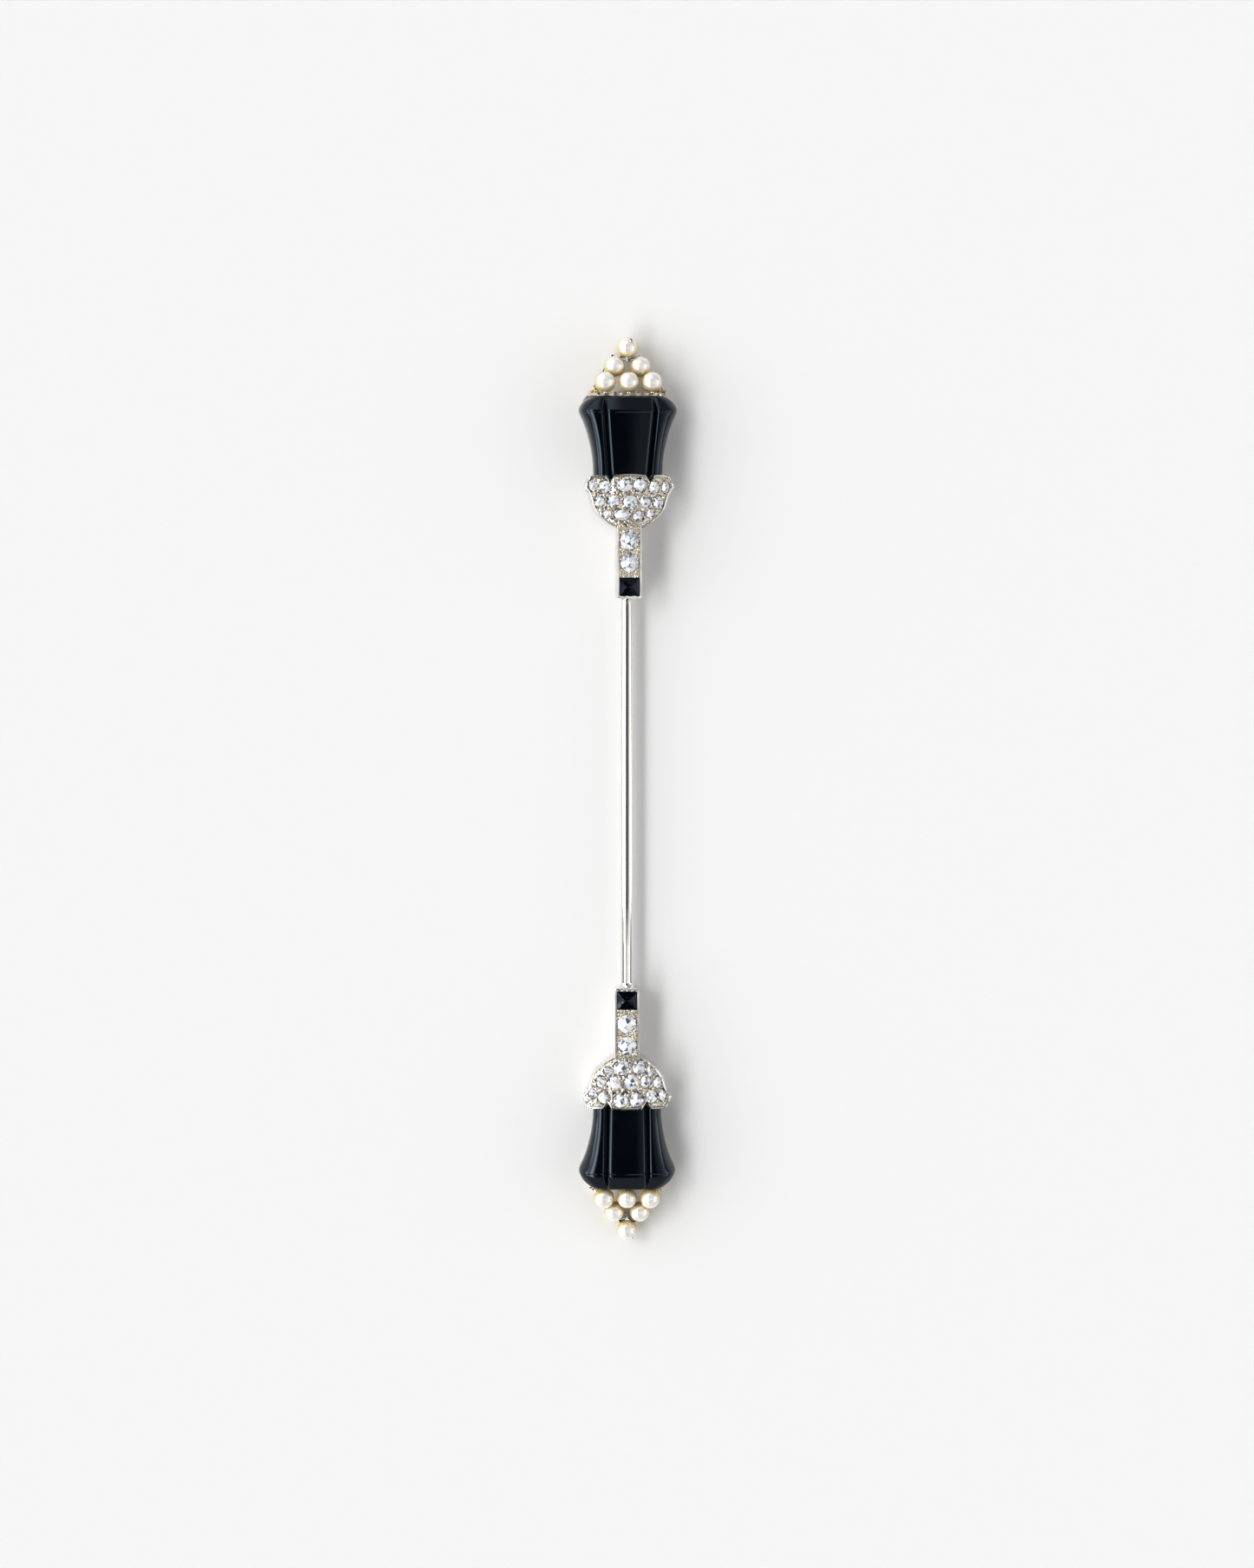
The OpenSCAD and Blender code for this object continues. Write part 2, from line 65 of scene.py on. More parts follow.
MM = 0.001
Ring = list[Vector]
Table = tuple[tuple[float, ...], ...]
Colour = tuple[float, float, float]
Piece = bpy.types.Object
Socket = bpy.types.NodeSocket

logging.basicConfig(level=logging.INFO, format="%(message)s")
log = logging.getLogger("jabot_pin")


class Slot(Enum):
    """The record's material slots."""

    METAL = "white_metal"
    ONYX = "onyx"
    PEARL = "pearl"
    STONE = "rose_cut_stone"


class Pick(Enum):
    """What an edit-mode selection holds."""

    FACES = "FACE"
    EDGES = "EDGE"


# Sizes that the two ends share

@dataclass(frozen=True)
class EndSizes:
    """Main sizes of one end in millimetres, the same as the part's own."""

    bar_len: float = 6.8
    bar_w: float = 2.4
    bar_h: float = 3.3
    calyx_len: float = 5.1
    calyx_half: float = 4.36
    calyx_front: float = 3.98
    calyx_groove: float = 1.94
    calyx_groove_d: float = 0.3
    calyx_wide: float = 0.8
    notch_w: float = 0.9
    notch_d: float = 0.7
    ridge_at: float = 18.2
    bevel_len: float = 1.36
    foot_in: float = 1.5
    foot_taper: float = 0.16
    neck_half: float = 3.36
    neck_front: float = 3.44
    ridge_half: float = 4.82
    ridge_front: float = 4.38
    bevel_drop: float = 0.88
    bevel_in: float = 1.25
    groove_w: float = 0.4
    groove_d: float = 0.5
    crown_drop: float = 0.24
    bell_wide: float = 1.3
    plate_t: float = 0.45
    plate_half: float = 4.5
    seat_gap: float = 0.04
    pearl_d: float = 2.0
    peg_d: float = 0.4
    wall_t: float = 0.28
    wall_half: float = 3.72
    bore_d: float = 1.58
    bore_from: float = -0.5
    bore_to: float = 9.05

    @property
    def rim_at(self) -> float:
        """Place of the petals' rim along the end."""
        return self.bar_len + self.calyx_len

    @property
    def wall_in(self) -> float:
        """Place of the end wall's inner face."""
        return self.ridge_at + self.bevel_len + self.seat_gap

    @property
    def wall_out(self) -> float:
        """Place of the end wall's outer face."""
        return self.wall_in + self.wall_t


@dataclass(frozen=True)
class Wire:
    """Sizes of the pin wire in millimetres, in the shared frame."""

    free: float = 38.3
    d: float = 1.2
    z: float = 1.55
    reach_in: float = 8.3
    in_d: float = 0.88
    point: float = 1.6
    collar_len: float = 0.42
    collar_d: float = 1.6


SIZES = EndSizes()
WIRE = Wire()


@dataclass(frozen=True)
class EndPlace:
    """One end of the pin: its names, its place and what differs from the other end.

    Small stones are rows of (across, along, width, length) in millimetres on the calyx.
    """

    prefix: str
    body: str
    place: Matrix
    ridge_groove: float
    seed: int
    stones: Table
    petal_reach: float
    overhang: float
    peg_end: tuple[float, float, float]
    socket_z: float | None = None

    def node(self, name: str) -> str:
        """Name of one of this end's nodes."""
        return f"{self.prefix}_{name}"


def fixed_end() -> EndPlace:
    """The end that is soldered to the wire, turned to point towards -Y.

    Returns:
        Its place, its stones and its own small differences.
    """
    place = Matrix.Translation((0, -WIRE.free / 2, 0)) @ Matrix.Rotation(math.pi, 4, "Z")
    stones = (
        (0.55, 7.8, 1.5, 1.4), (-1.15, 7.75, 1.25, 1.25), (-2.2, 8.15, 0.7, 1.0), (1.85, 8.15, 0.85, 0.85),
        (2.55, 9.15, 0.95, 1.05), (1.25, 9.3, 1.2, 1.35), (-0.4, 9.2, 1.35, 1.5), (-1.85, 9.15, 1.05, 1.2),
        (-3.0, 9.25, 0.85, 1.1), (3.35, 10.25, 0.8, 1.15), (2.25, 10.7, 1.1, 1.15), (0.62, 10.95, 1.4, 1.35),
        (-0.95, 10.85, 1.3, 1.3), (-2.4, 10.6, 1.1, 1.2), (-3.5, 10.5, 0.8, 1.15))
    return EndPlace("pin", "pin", place, ridge_groove=2.05, seed=11, stones=stones, petal_reach=-0.08,
                    overhang=0.4, peg_end=(-0.5, 0.8, 0.3))


def slip_on_end() -> EndPlace:
    """The end that slips off the wire's point, leaning a little about the wire.

    Returns:
        Its place, its stones, its own small differences and its socket.
    """
    lean = math.radians(6.5)
    socket_z = (WIRE.z - SIZES.plate_half * math.sin(lean)) / math.cos(lean)
    place = (Matrix.Translation((0, WIRE.free / 2, WIRE.z)) @ Matrix.Rotation(lean, 4, "Y")
             @ Matrix.Translation((0, 0, -socket_z)))
    stones = (
        (-3.55, 10.95, 0.85, 1.1), (-2.4, 10.8, 1.05, 1.15), (-0.55, 10.95, 1.5, 1.25),
        (0.95, 10.95, 1.25, 1.3), (2.35, 10.75, 0.95, 1.15), (3.5, 10.75, 0.75, 1.1), (-2.9, 9.4, 1.0, 1.05),
        (-1.6, 9.45, 1.15, 1.15), (0.05, 9.35, 1.35, 1.35), (1.55, 9.4, 1.15, 1.15), (2.8, 9.3, 1.0, 1.2),
        (-2.15, 8.2, 0.8, 0.75), (-0.7, 8.1, 1.55, 0.95), (0.85, 8.0, 1.1, 0.9), (2.0, 8.25, 0.85, 0.8))
    return EndPlace("slip", "slip_end", place, ridge_groove=2.45, seed=29, stones=stones, petal_reach=0.08,
                    overhang=0.0, peg_end=(0.31, 0.7, 0.64), socket_z=socket_z)


# Curves through short tables

def smooth_row(table: Table, t: float) -> list[float]:
    """Reads a table along its first column, with a smooth curve through its rows.

    Args:
        table: rows whose first number grows from row to row.
        t: place in the first column.

    Returns:
        The other columns at that place.
    """
    last = len(table) - 1
    t = min(max(t, table[0][0]), table[last][0])
    i = max(k for k in range(last) if table[k][0] <= t or k == 0)
    a, b = table[i], table[i + 1]
    before, after = table[max(i - 1, 0)], table[min(i + 2, last)]
    span = b[0] - a[0]
    u = (t - a[0]) / span
    values = []
    for c in range(1, len(a)):
        slope_a = (b[c] - before[c]) / (b[0] - before[0]) * span
        slope_b = (after[c] - a[c]) / (after[0] - a[0]) * span
        values.append((2 * u ** 3 - 3 * u ** 2 + 1) * a[c] + (u ** 3 - 2 * u ** 2 + u) * slope_a
                      + (3 * u ** 2 - 2 * u ** 3) * b[c] + (u ** 3 - u ** 2) * slope_b)
    return values


def spread(count: int) -> list[float]:
    """Even shares from 0 to 1, both ends included."""
    return [i / count for i in range(count + 1)]


def placed(spot: Vector | tuple[float, float, float], *sizes: float) -> Matrix:
    """A place with a scale along each axis."""
    return Matrix.Translation(spot) @ Matrix.Diagonal((*sizes, 1))


def ripple(x: float, height: float, pitch: float, phase: float = 0.0) -> float:
    """A small wave along a hand-filed edge."""
    return height * math.sin(x * pitch + phase)


def mirrored_ring(half: list[tuple[float, float]], y: float) -> Ring:
    """Closed ring at a place along the end from its right half, which runs from front to back."""
    left = [Vector((-x, y, z)) for x, z in reversed(half)]
    return left + [Vector((x, y, z)) for x, z in half[1:]]


# Modelling by hand in code

def clear_selection() -> None:
    """Deselects every object, the frame's nodes too."""
    for thing in list(bpy.context.selected_objects):
        thing.select_set(False)
    bpy.context.view_layer.objects.active = None


def take(piece: Piece) -> None:
    """Makes a piece the only selected and active object.

    Args:
        piece: the piece.
    """
    clear_selection()
    piece.select_set(True)
    bpy.context.view_layer.objects.active = piece


@contextmanager
def editing(piece: Piece, pick: Pick = Pick.FACES) -> Iterator[None]:
    """Edit mode on one piece, with everything in it deselected first.

    Args:
        piece: the piece.
        pick: what its selection holds.

    Returns:
        A context in which the piece can be edited.
    """
    take(piece)
    bpy.ops.object.mode_set(mode="EDIT")
    bpy.ops.mesh.select_mode(type=pick.value)
    bpy.ops.mesh.select_all(action="DESELECT")
    try:
        yield
    finally:
        bpy.ops.object.mode_set(mode="OBJECT")


def choose(piece: Piece, pick: Pick, rule: Callable[[object], bool]) -> None:
    """Selects, in edit mode, the faces or edges that a rule names by their place or normal.

    Args:
        piece: the piece in edit mode.
        pick: whether faces or edges are selected.
        rule: whether a face or an edge is taken.
    """
    form = bmesh.from_edit_mesh(piece.data)
    bpy.ops.mesh.select_mode(type=pick.value)
    bpy.ops.mesh.select_all(action="DESELECT")
    for item in (form.faces if pick is Pick.FACES else form.edges):
        item.select_set(rule(item))
    form.select_flush_mode()
    bmesh.update_edit_mesh(piece.data)


def middle_of(edge: bmesh.types.BMEdge) -> Vector:
    """Middle of an edge."""
    return (edge.verts[0].co + edge.verts[1].co) / 2


def tidy_mesh(piece: Piece, merge: float = 0.001) -> None:
    """Merges doubles, closes holes and points the faces outwards.

    Args:
        piece: the piece.
        merge: distance up to which points are one.
    """
    with editing(piece):
        bpy.ops.mesh.select_all(action="SELECT")
        bpy.ops.mesh.remove_doubles(threshold=merge)
        bpy.ops.mesh.fill_holes(sides=0)
        bpy.ops.mesh.normals_make_consistent(inside=False)


def loft(name: str, rings: list[Ring]) -> Piece:
    """A closed skin through rings with the same number of points.

    The sections of a bell or a petal rim change all the way along, which extrude and bevel steps don't
    give, so a grid is added and each of its points is set from the rings.

    Args:
        name: name of the piece.
        rings: sections in order, each with its last point on its first.

    Returns:
        The new piece, in millimetres in its end's frame.
    """
    rows, columns = len(rings) - 1, len(rings[0]) - 1
    clear_selection()
    bpy.ops.mesh.primitive_grid_add(x_subdivisions=columns, y_subdivisions=rows, size=1)
    piece = bpy.context.object
    piece.name = piece.data.name = name
    for point in piece.data.vertices:
        column, row = round((point.co.x + 0.5) * columns), round((point.co.y + 0.5) * rows)
        point.co = rings[row][column]
    tidy_mesh(piece)
    return piece


def lathe(name: str, profile: list[tuple[float, float]], z: float, sides: int = 64) -> Piece:
    """A turned rod along Y: a disc is extruded and scaled from step to step of its profile.

    Args:
        name: name of the piece.
        profile: (place along Y, radius) pairs in order.
        z: height of the axis.
        sides: number of sides.

    Returns:
        The new piece.
    """
    clear_selection()
    start = Vector((0, profile[0][0], z))
    bpy.ops.mesh.primitive_circle_add(vertices=sides, radius=profile[0][1], fill_type="NGON", location=start,
                                      rotation=(math.pi / 2, 0, 0))
    piece = bpy.context.object
    bpy.ops.object.transform_apply()
    piece.name = piece.data.name = name
    with editing(piece):
        bpy.ops.mesh.select_all(action="SELECT")
        for (y0, r0), (y1, r1) in zip(profile, profile[1:]):
            bpy.ops.mesh.extrude_region_move(TRANSFORM_OT_translate={"value": (0, y1 - y0, 0)})
            bpy.ops.transform.resize(value=(r1 / r0, 1, r1 / r0), center_override=(0, y1, z))
        bpy.ops.mesh.select_all(action="SELECT")
        bpy.ops.mesh.normals_make_consistent(inside=False)
    return piece


def block(name: str, low: Vector, high: Vector) -> Piece:
    """A box between two corners, to be shaped further.

    Args:
        name: name of the piece.
        low: its lowest corner.
        high: its highest corner.

    Returns:
        The new piece.
    """
    clear_selection()
    bpy.ops.mesh.primitive_cube_add(size=1, location=(low + high) / 2)
    piece = bpy.context.object
    piece.scale = high - low
    bpy.ops.object.transform_apply()
    piece.name = piece.data.name = name
    return piece


def bevel_edges(piece: Piece, width: float, steps: int,
                rule: Callable[[bmesh.types.BMEdge], bool] = lambda edge: True) -> None:
    """Rounds the chosen edges of a piece.

    Args:
        piece: the piece.
        width: width of the bevel.
        steps: how many steps it has.
        rule: whether an edge is taken.
    """
    with editing(piece, Pick.EDGES):
        choose(piece, Pick.EDGES, rule)
        bpy.ops.mesh.bevel(offset=width, segments=steps, affect="EDGES", clamp_overlap=True)


def join(name: str, parts: list[Piece]) -> Piece:
    """Joins parts into one piece.

    Args:
        name: name of the piece.
        parts: the parts, which become one.

    Returns:
        The joined piece.
    """
    take(parts[0])
    for part in parts[1:]:
        part.select_set(True)
    if len(parts) > 1:
        bpy.ops.object.join()
    piece = bpy.context.object
    piece.name = piece.data.name = name
    return piece


def copies(name: str, model: Piece, places: list[Matrix],
           change: Callable[[Vector, int], Vector] = lambda point, i: point) -> Piece:
    """One piece made of copies of a model, each with its own points; the model is then removed.

    Args:
        name: name of the piece.
        model: piece to be copied.
        places: a matrix for each copy.
        change: takes a point of the model and the copy's number, and gives the point to use.

    Returns:
        The joined copies.
    """
    parts = []
    for i, place in enumerate(places):
        mesh = model.data.copy()
        for point in mesh.vertices:
            point.co = place @ change(point.co, i)
        part = bpy.data.objects.new(f"{name}_{i}", mesh)
        bpy.context.collection.objects.link(part)
        parts.append(part)
    bpy.data.objects.remove(model)
    return join(name, parts)


def cut_away(piece: Piece, tool: Piece) -> None:
    """Cuts a tool out of a piece and removes the tool.

    Args:
        piece: the piece.
        tool: what is cut out of it.
    """
    take(piece)
    cutter = piece.modifiers.new("cut", "BOOLEAN")
    cutter.operation = "DIFFERENCE"
    cutter.solver = "EXACT"
    cutter.object = tool
    bpy.ops.object.modifier_apply(modifier=cutter.name)
    bpy.data.objects.remove(tool)


def mark(piece: Piece, name: str, value: Callable[[Vector], float]) -> None:
    """Stores a number for each point, which a finish reads as an attribute."""
    numbers = [value(point.co) for point in piece.data.vertices]
    piece.data.attributes.new(name, "FLOAT", "POINT").data.foreach_set("value", numbers)


def mark_facets(piece: Piece, name: str, rng: random.Random) -> None:
    """Stores one random value for each facet, which the stone's finish turns into a painted reflection."""
    tones = [rng.random() for _ in piece.data.polygons]
    piece.data.attributes.new(name, "FLOAT", "FACE").data.foreach_set("value", tones)


def hand_over(piece: Piece, place: Matrix, body: str,
              finishes: list[bpy.types.Material], replaced: str, smooth: float | None = 40) -> None:
    """Places a finished mesh in the shared frame, dresses it and has it ride on its body.

    Args:
        piece: the mesh, in millimetres.
        place: its end's place, in millimetres.
        body: the body that it moves with.
        finishes: materials in the order of the faces' material numbers.
        replaced: the node of the frame that it stands for.
        smooth: angle in degrees up to which edges are shaded smooth, or None for flat facets.
    """
    piece.data.transform(Matrix.Scale(MM, 4) @ place)
    piece.data.materials.clear()
    for finish in finishes:
        piece.data.materials.append(finish)
    take(piece)
    if smooth is None:
        bpy.ops.object.shade_flat()
    else:
        bpy.ops.object.shade_smooth_by_angle(angle=math.radians(smooth))
    piece.data.update()
    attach(piece, body)
    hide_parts(replaced)
    log.info("%s: %d faces, rides on %s", piece.name, len(piece.data.polygons), body)


def no_darkening(point: Vector) -> float:
    """No darkening and no painted shade, for a piece that is polished all over."""
    return 0.0


def mount_metal(piece: Piece, end: EndPlace, finishes: list[bpy.types.Material],
                dirt_and_shade: Callable[[Vector], float] = no_darkening) -> None:
    """Hands over a piece of an end's metal mount, with its darkening stored for its finish, painted shade
    included.
    """
    mark(piece, "recess", dirt_and_shade)
    hand_over(piece, end.place, end.body, finishes, end.node("mount"))


# Finishes

class Nodes:
    """A node tree with short calls to add nodes and join sockets."""

    def __init__(self, tree: bpy.types.NodeTree) -> None:
        """Keeps the tree."""
        self.tree = tree

    def add(self, kind: str, **values: object) -> bpy.types.Node:
        """Adds a node and sets its properties.

        Args:
            kind: the node's type.
            values: its properties.

        Returns:
            The new node.
        """
        node = self.tree.nodes.new(kind)
        for name, value in values.items():
            setattr(node, name, value)
        return node

    def link(self, source: Socket, target: Socket) -> None:
        """Joins two sockets."""
        self.tree.links.new(source, target)

    def put(self, value: object, socket: Socket) -> None:
        """Feeds a socket with another socket, a number or a colour.

        Args:
            value: what it is fed with.
            socket: the input.
        """
        if isinstance(value, Socket):
            self.link(value, socket)
        elif isinstance(value, tuple):
            socket.default_value = (*value, 1)
        else:
            socket.default_value = value

    def math(self, operation: str, a: object, b: object = 0.0, clamp: bool = False) -> Socket:
        """A Math node on two numbers or sockets.

        Args:
            operation: the node's operation.
            a: first number or socket.
            b: second number or socket.
            clamp: whether the result is held between 0 and 1.

        Returns:
            The result's socket.
        """
        node = self.add("ShaderNodeMath", operation=operation, use_clamp=clamp)
        self.put(a, node.inputs[0])
        self.put(b, node.inputs[1])
        return node.outputs[0]

    def step(self, value: Socket, low: float, high: float, at_low: float = 0.0,
             at_high: float = 1.0) -> Socket:
        """A smooth step from one value to another.

        Args:
            value: the value to read.
            low: where the step starts.
            high: where it ends.
            at_low: the result below the step.
            at_high: the result above it.

        Returns:
            The result's socket.
        """
        node = self.add("ShaderNodeMapRange", interpolation_type="SMOOTHSTEP")
        for name, number in (("From Min", low), ("From Max", high), ("To Min", at_low), ("To Max", at_high)):
            node.inputs[name].default_value = number
        self.link(value, node.inputs["Value"])
        return node.outputs["Result"]

    def mix(self, share: object, a: object, b: object, colours: bool) -> Socket:
        """Mixes two numbers or two colours.

        Args:
            share: how much of the second is taken.
            a: the first.
            b: the second.
            colours: whether they are colours.

        Returns:
            The result's socket.
        """
        node = self.add("ShaderNodeMix", data_type="RGBA" if colours else "FLOAT")
        pair = (6, 7) if colours else (2, 3)
        for value, number in zip((share, a, b), (0, *pair)):
            self.put(value, node.inputs[number])
        return node.outputs[2 if colours else 0]

    def blend(self, share: object, a: object, b: object) -> Socket:
        """Mixes two colours."""
        return self.mix(share, a, b, colours=True)

    def lay(self, under: object, mask: Socket, value: object) -> Socket:
        """Lays a number over another where a mask is one."""
        return self.mix(mask, under, value, colours=False)

    def between(self, value: Socket, low: float, high: float, soft: float) -> Socket:
        """One where a value lies between two others, zero elsewhere, with soft ends."""
        rising = self.step(value, low - soft, low + soft)
        return self.math("MULTIPLY", rising, self.step(value, high - soft, high + soft, 1.0, 0.0))

    def cloud(self, scale: object, detail: float, place: Socket) -> bpy.types.Node:
        """A noise in the mesh's own space.

        Args:
            scale: how fine the noise is.
            detail: how many layers it has.
            place: the coordinates to read.

        Returns:
            The noise node.
        """
        node = self.add("ShaderNodeTexNoise", noise_dimensions="3D")
        self.link(place, node.inputs["Vector"])
        self.put(scale, node.inputs["Scale"])
        node.inputs["Detail"].default_value = detail
        return node


def new_group(name: str, inputs: dict[str, float],
              outputs: tuple[str, ...]) -> tuple[Nodes, bpy.types.Node, bpy.types.Node]:
    """An empty shader node group whose sockets are all numbers.

    Args:
        name: name of the group.
        inputs: names and usual values of its inputs.
        outputs: names of its outputs.

    Returns:
        The group's nodes, its input node and its output node.
    """
    tree = bpy.data.node_groups.new(name, "ShaderNodeTree")
    for title, value in inputs.items():
        socket = tree.interface.new_socket(title, in_out="INPUT", socket_type="NodeSocketFloat")
        socket.default_value = value
    for title in outputs:
        tree.interface.new_socket(title, in_out="OUTPUT", socket_type="NodeSocketFloat")
    nodes = Nodes(tree)
    return nodes, nodes.add("NodeGroupInput"), nodes.add("NodeGroupOutput")


def polish_wear_group() -> bpy.types.NodeTree:
    """Hand polish: fine directional lines and soft patches.

    Returns:
        A group that takes Scale and Amount, and gives Shade, a value about 0.5, and Height.
    """
    line_stretch, line_share, patch_size = (6.0, 0.35, 6.0), 0.45, 0.55
    nodes, start, end = new_group("hand_polish", {"Scale": 1200.0, "Amount": 1.0}, ("Shade", "Height"))
    place = nodes.add("ShaderNodeTexCoord").outputs["Object"]
    stretched = nodes.add("ShaderNodeMapping", vector_type="POINT")
    stretched.inputs["Scale"].default_value = line_stretch
    nodes.link(place, stretched.inputs["Vector"])
    lines = nodes.cloud(start.outputs["Scale"], 3.0, stretched.outputs[0])
    patches = nodes.cloud(nodes.math("MULTIPLY", start.outputs["Scale"], patch_size), 4.0, place)
    both = nodes.math("ADD", nodes.math("MULTIPLY", lines.outputs[0], line_share),
                      nodes.math("MULTIPLY", patches.outputs[0], 1 - line_share))
    centred = nodes.math("SUBTRACT", both, 0.5)
    strong = nodes.math("MULTIPLY", centred, start.outputs["Amount"])
    nodes.link(nodes.math("ADD", strong, 0.5, clamp=True), end.inputs["Shade"])
    nodes.link(strong, end.inputs["Height"])
    return nodes.tree


def mottle_group() -> bpy.types.NodeTree:
    """Cloudy variation for pearl and stone.

    Returns:
        A group that takes Scale and Contrast, and gives Cloud, from 0 to 1.
    """
    nodes, start, end = new_group("cloud_mottle", {"Scale": 900.0, "Contrast": 1.0}, ("Cloud",))
    place = nodes.add("ShaderNodeTexCoord").outputs["Object"]
    cloud = nodes.cloud(start.outputs["Scale"], 3.0, place)
    cloud.inputs["Distortion"].default_value = 0.6
    centred = nodes.math("MULTIPLY", nodes.math("SUBTRACT", cloud.outputs[0], 0.5), start.outputs["Contrast"])
    nodes.link(nodes.math("ADD", centred, 0.5, clamp=True), end.inputs["Cloud"])
    return nodes.tree


class Finish:
    """A material with a Principled shader and short calls to feed it."""

    def __init__(self, name: str, **sockets: object) -> None:
        """Makes the material and sets the sockets that are the same all over.

        Args:
            name: name of the material.
            sockets: the shader's sockets, with _ for a space.
        """
        self.material = bpy.data.materials.new(name)
        self.material.use_nodes = True
        self.nodes = Nodes(self.material.node_tree)
        self.shader = self.material.node_tree.nodes["Principled BSDF"]
        for title, value in sockets.items():
            self.shader.inputs[title.replace("_", " ")].default_value = value

    def group(self, tree: bpy.types.NodeTree, **values: float) -> bpy.types.Node:
        """Places a node group in the material with its own values.

        Args:
            tree: the group.
            values: its inputs.

        Returns:
            The new node.
        """
        node = self.nodes.add("ShaderNodeGroup", node_tree=tree)
        for title, value in values.items():
            node.inputs[title].default_value = value
        return node

    def feed(self, source: Socket, title: str) -> None:
        """Joins a socket to the shader."""
        self.nodes.link(source, self.shader.inputs[title])

    def bump(self, height: Socket, distance: float, strength: float = 1.0) -> None:
        """Raises the surface by a height, distance in millimetres.

        Args:
            height: the height's socket.
            distance: how high a height of one is.
            strength: how strongly it shows.
        """
        node = self.nodes.add("ShaderNodeBump")
        node.inputs["Strength"].default_value = strength
        node.inputs["Distance"].default_value = distance * MM
        self.nodes.link(height, node.inputs["Height"])
        self.feed(node.outputs[0], "Normal")

    def attribute(self, name: str) -> Socket:
        """A number stored on the mesh."""
        return self.nodes.add("ShaderNodeAttribute", attribute_name=name).outputs["Fac"]


@dataclass(frozen=True)
class MetalTone:
    """How one patch of the white metal looks; relief is in millimetres."""

    name: str
    bright: Colour
    dull: Colour
    rough_low: float
    rough_high: float
    scale: float
    relief: float
    pits: float = 0.0
    wear: float = 1.3
    lump_scale: float = 5200.0
    lump_contrast: float = 3.0
    # dark brown laid by the recess mark and the pits: partly painted shade, along the feet of rims and in
    # hollows
    dirt_and_shade: Colour = (0.045, 0.032, 0.022)
    dirt_and_shade_rough: float = 0.4

    def build(self, polish: bpy.types.NodeTree, mottle: bpy.types.NodeTree) -> bpy.types.Material:
        """Makes the material: polish lines and patches, pits, and a dark brown laid in the pits' low spots
        and wherever the piece's recess mark asks, which includes painted shade along the feet of rims and in
        hollows.

        Args:
            polish: the polish and wear group.
            mottle: the cloud group.

        Returns:
            The material.
        """
        finish = Finish(self.name, Metallic=1.0)
        wear = finish.group(polish, Scale=self.scale, Amount=self.wear)
        shade, height = wear.outputs["Shade"], wear.outputs["Height"]
        # recess mark: darker round the stones, and painted shade along the feet of rims and in the tip peg's
        # hollow
        dirt_and_shade = finish.attribute("recess")
        if self.pits > 0:
            group = finish.group(mottle, Scale=self.lump_scale, Contrast=self.lump_contrast)
            lumps = group.outputs["Cloud"]
            low = finish.nodes.step(lumps, 0.1, 0.55, self.pits, 0.0)
            dirt_and_shade = finish.nodes.math("MAXIMUM", dirt_and_shade, low)
            height = finish.nodes.math("ADD", height, lumps)
        worn = finish.nodes.blend(finish.nodes.step(shade, 0.25, 0.75), self.dull, self.bright)
        finish.feed(finish.nodes.blend(dirt_and_shade, worn, self.dirt_and_shade), "Base Color")
        rough = finish.nodes.step(shade, 0.3, 0.7, self.rough_high, self.rough_low)
        dusty = finish.nodes.math("MULTIPLY", dirt_and_shade, self.dirt_and_shade_rough)
        finish.feed(finish.nodes.math("ADD", rough, dusty), "Roughness")
        finish.bump(height, self.relief)
        return finish.material


@dataclass(frozen=True)
class OnyxFinish:
    """Black onyx: near black, glossy, with a faint wave from hand polishing."""

    name: str = "black_onyx"
    deep: Colour = (0.0002, 0.0006, 0.0018)
    pale: Colour = (0.0005, 0.0012, 0.0030)
    rough: float = 0.09
    relief: float = 0.004

    def build(self, mottle: bpy.types.NodeTree) -> bpy.types.Material:
        """Makes the material.

        Args:
            mottle: the cloud group.

        Returns:
            The material.
        """
        finish = Finish(self.name, IOR=1.56, Specular_IOR_Level=0.34, Specular_Tint=(0.66, 0.82, 1.0, 1.0))
        cloud = finish.group(mottle, Scale=420.0, Contrast=1.6).outputs["Cloud"]
        finish.feed(finish.nodes.blend(cloud, self.deep, self.pale), "Base Color")
        finish.feed(finish.nodes.step(cloud, 0.2, 0.8, self.rough, 1.6 * self.rough), "Roughness")
        finish.bump(cloud, self.relief)
        return finish.material


@dataclass(frozen=True)
class PearlFinish:
    """Natural pearl: cream with a painted golden reflection of the metal towards its edges, a satin skin and
    faint clouds.
    """

    name: str = "cream_pearl"
    cream: Colour = (0.88, 0.85, 0.76)
    white: Colour = (0.97, 0.95, 0.91)
    # gold: painted reflection of the metal below and behind the pearl
    gold: Colour = (0.68, 0.50, 0.15)
    rough_low: float = 0.18
    rough_high: float = 0.28
    relief: float = 0.004

    def build(self, mottle: bpy.types.NodeTree) -> bpy.types.Material:
        """Makes the material.

        Args:
            mottle: the cloud group.

        Returns:
            The material.
        """
        finish = Finish(self.name, Metallic=0.35, Coat_Weight=0.7, Coat_Roughness=0.09, Coat_IOR=1.6, IOR=1.5)
        cloud = finish.group(mottle, Scale=1100.0, Contrast=1.3).outputs["Cloud"]
        body = finish.nodes.blend(cloud, self.cream, self.white)
        # painted reflection: gold laid over the body towards the metal below and behind
        finish.feed(finish.nodes.blend(finish.attribute("painted_gold_reflection"), body, self.gold), "Base Color")
        finish.feed(finish.nodes.step(cloud, 0.2, 0.8, self.rough_low, self.rough_high), "Roughness")
        finish.bump(cloud, self.relief)
        return finish.material


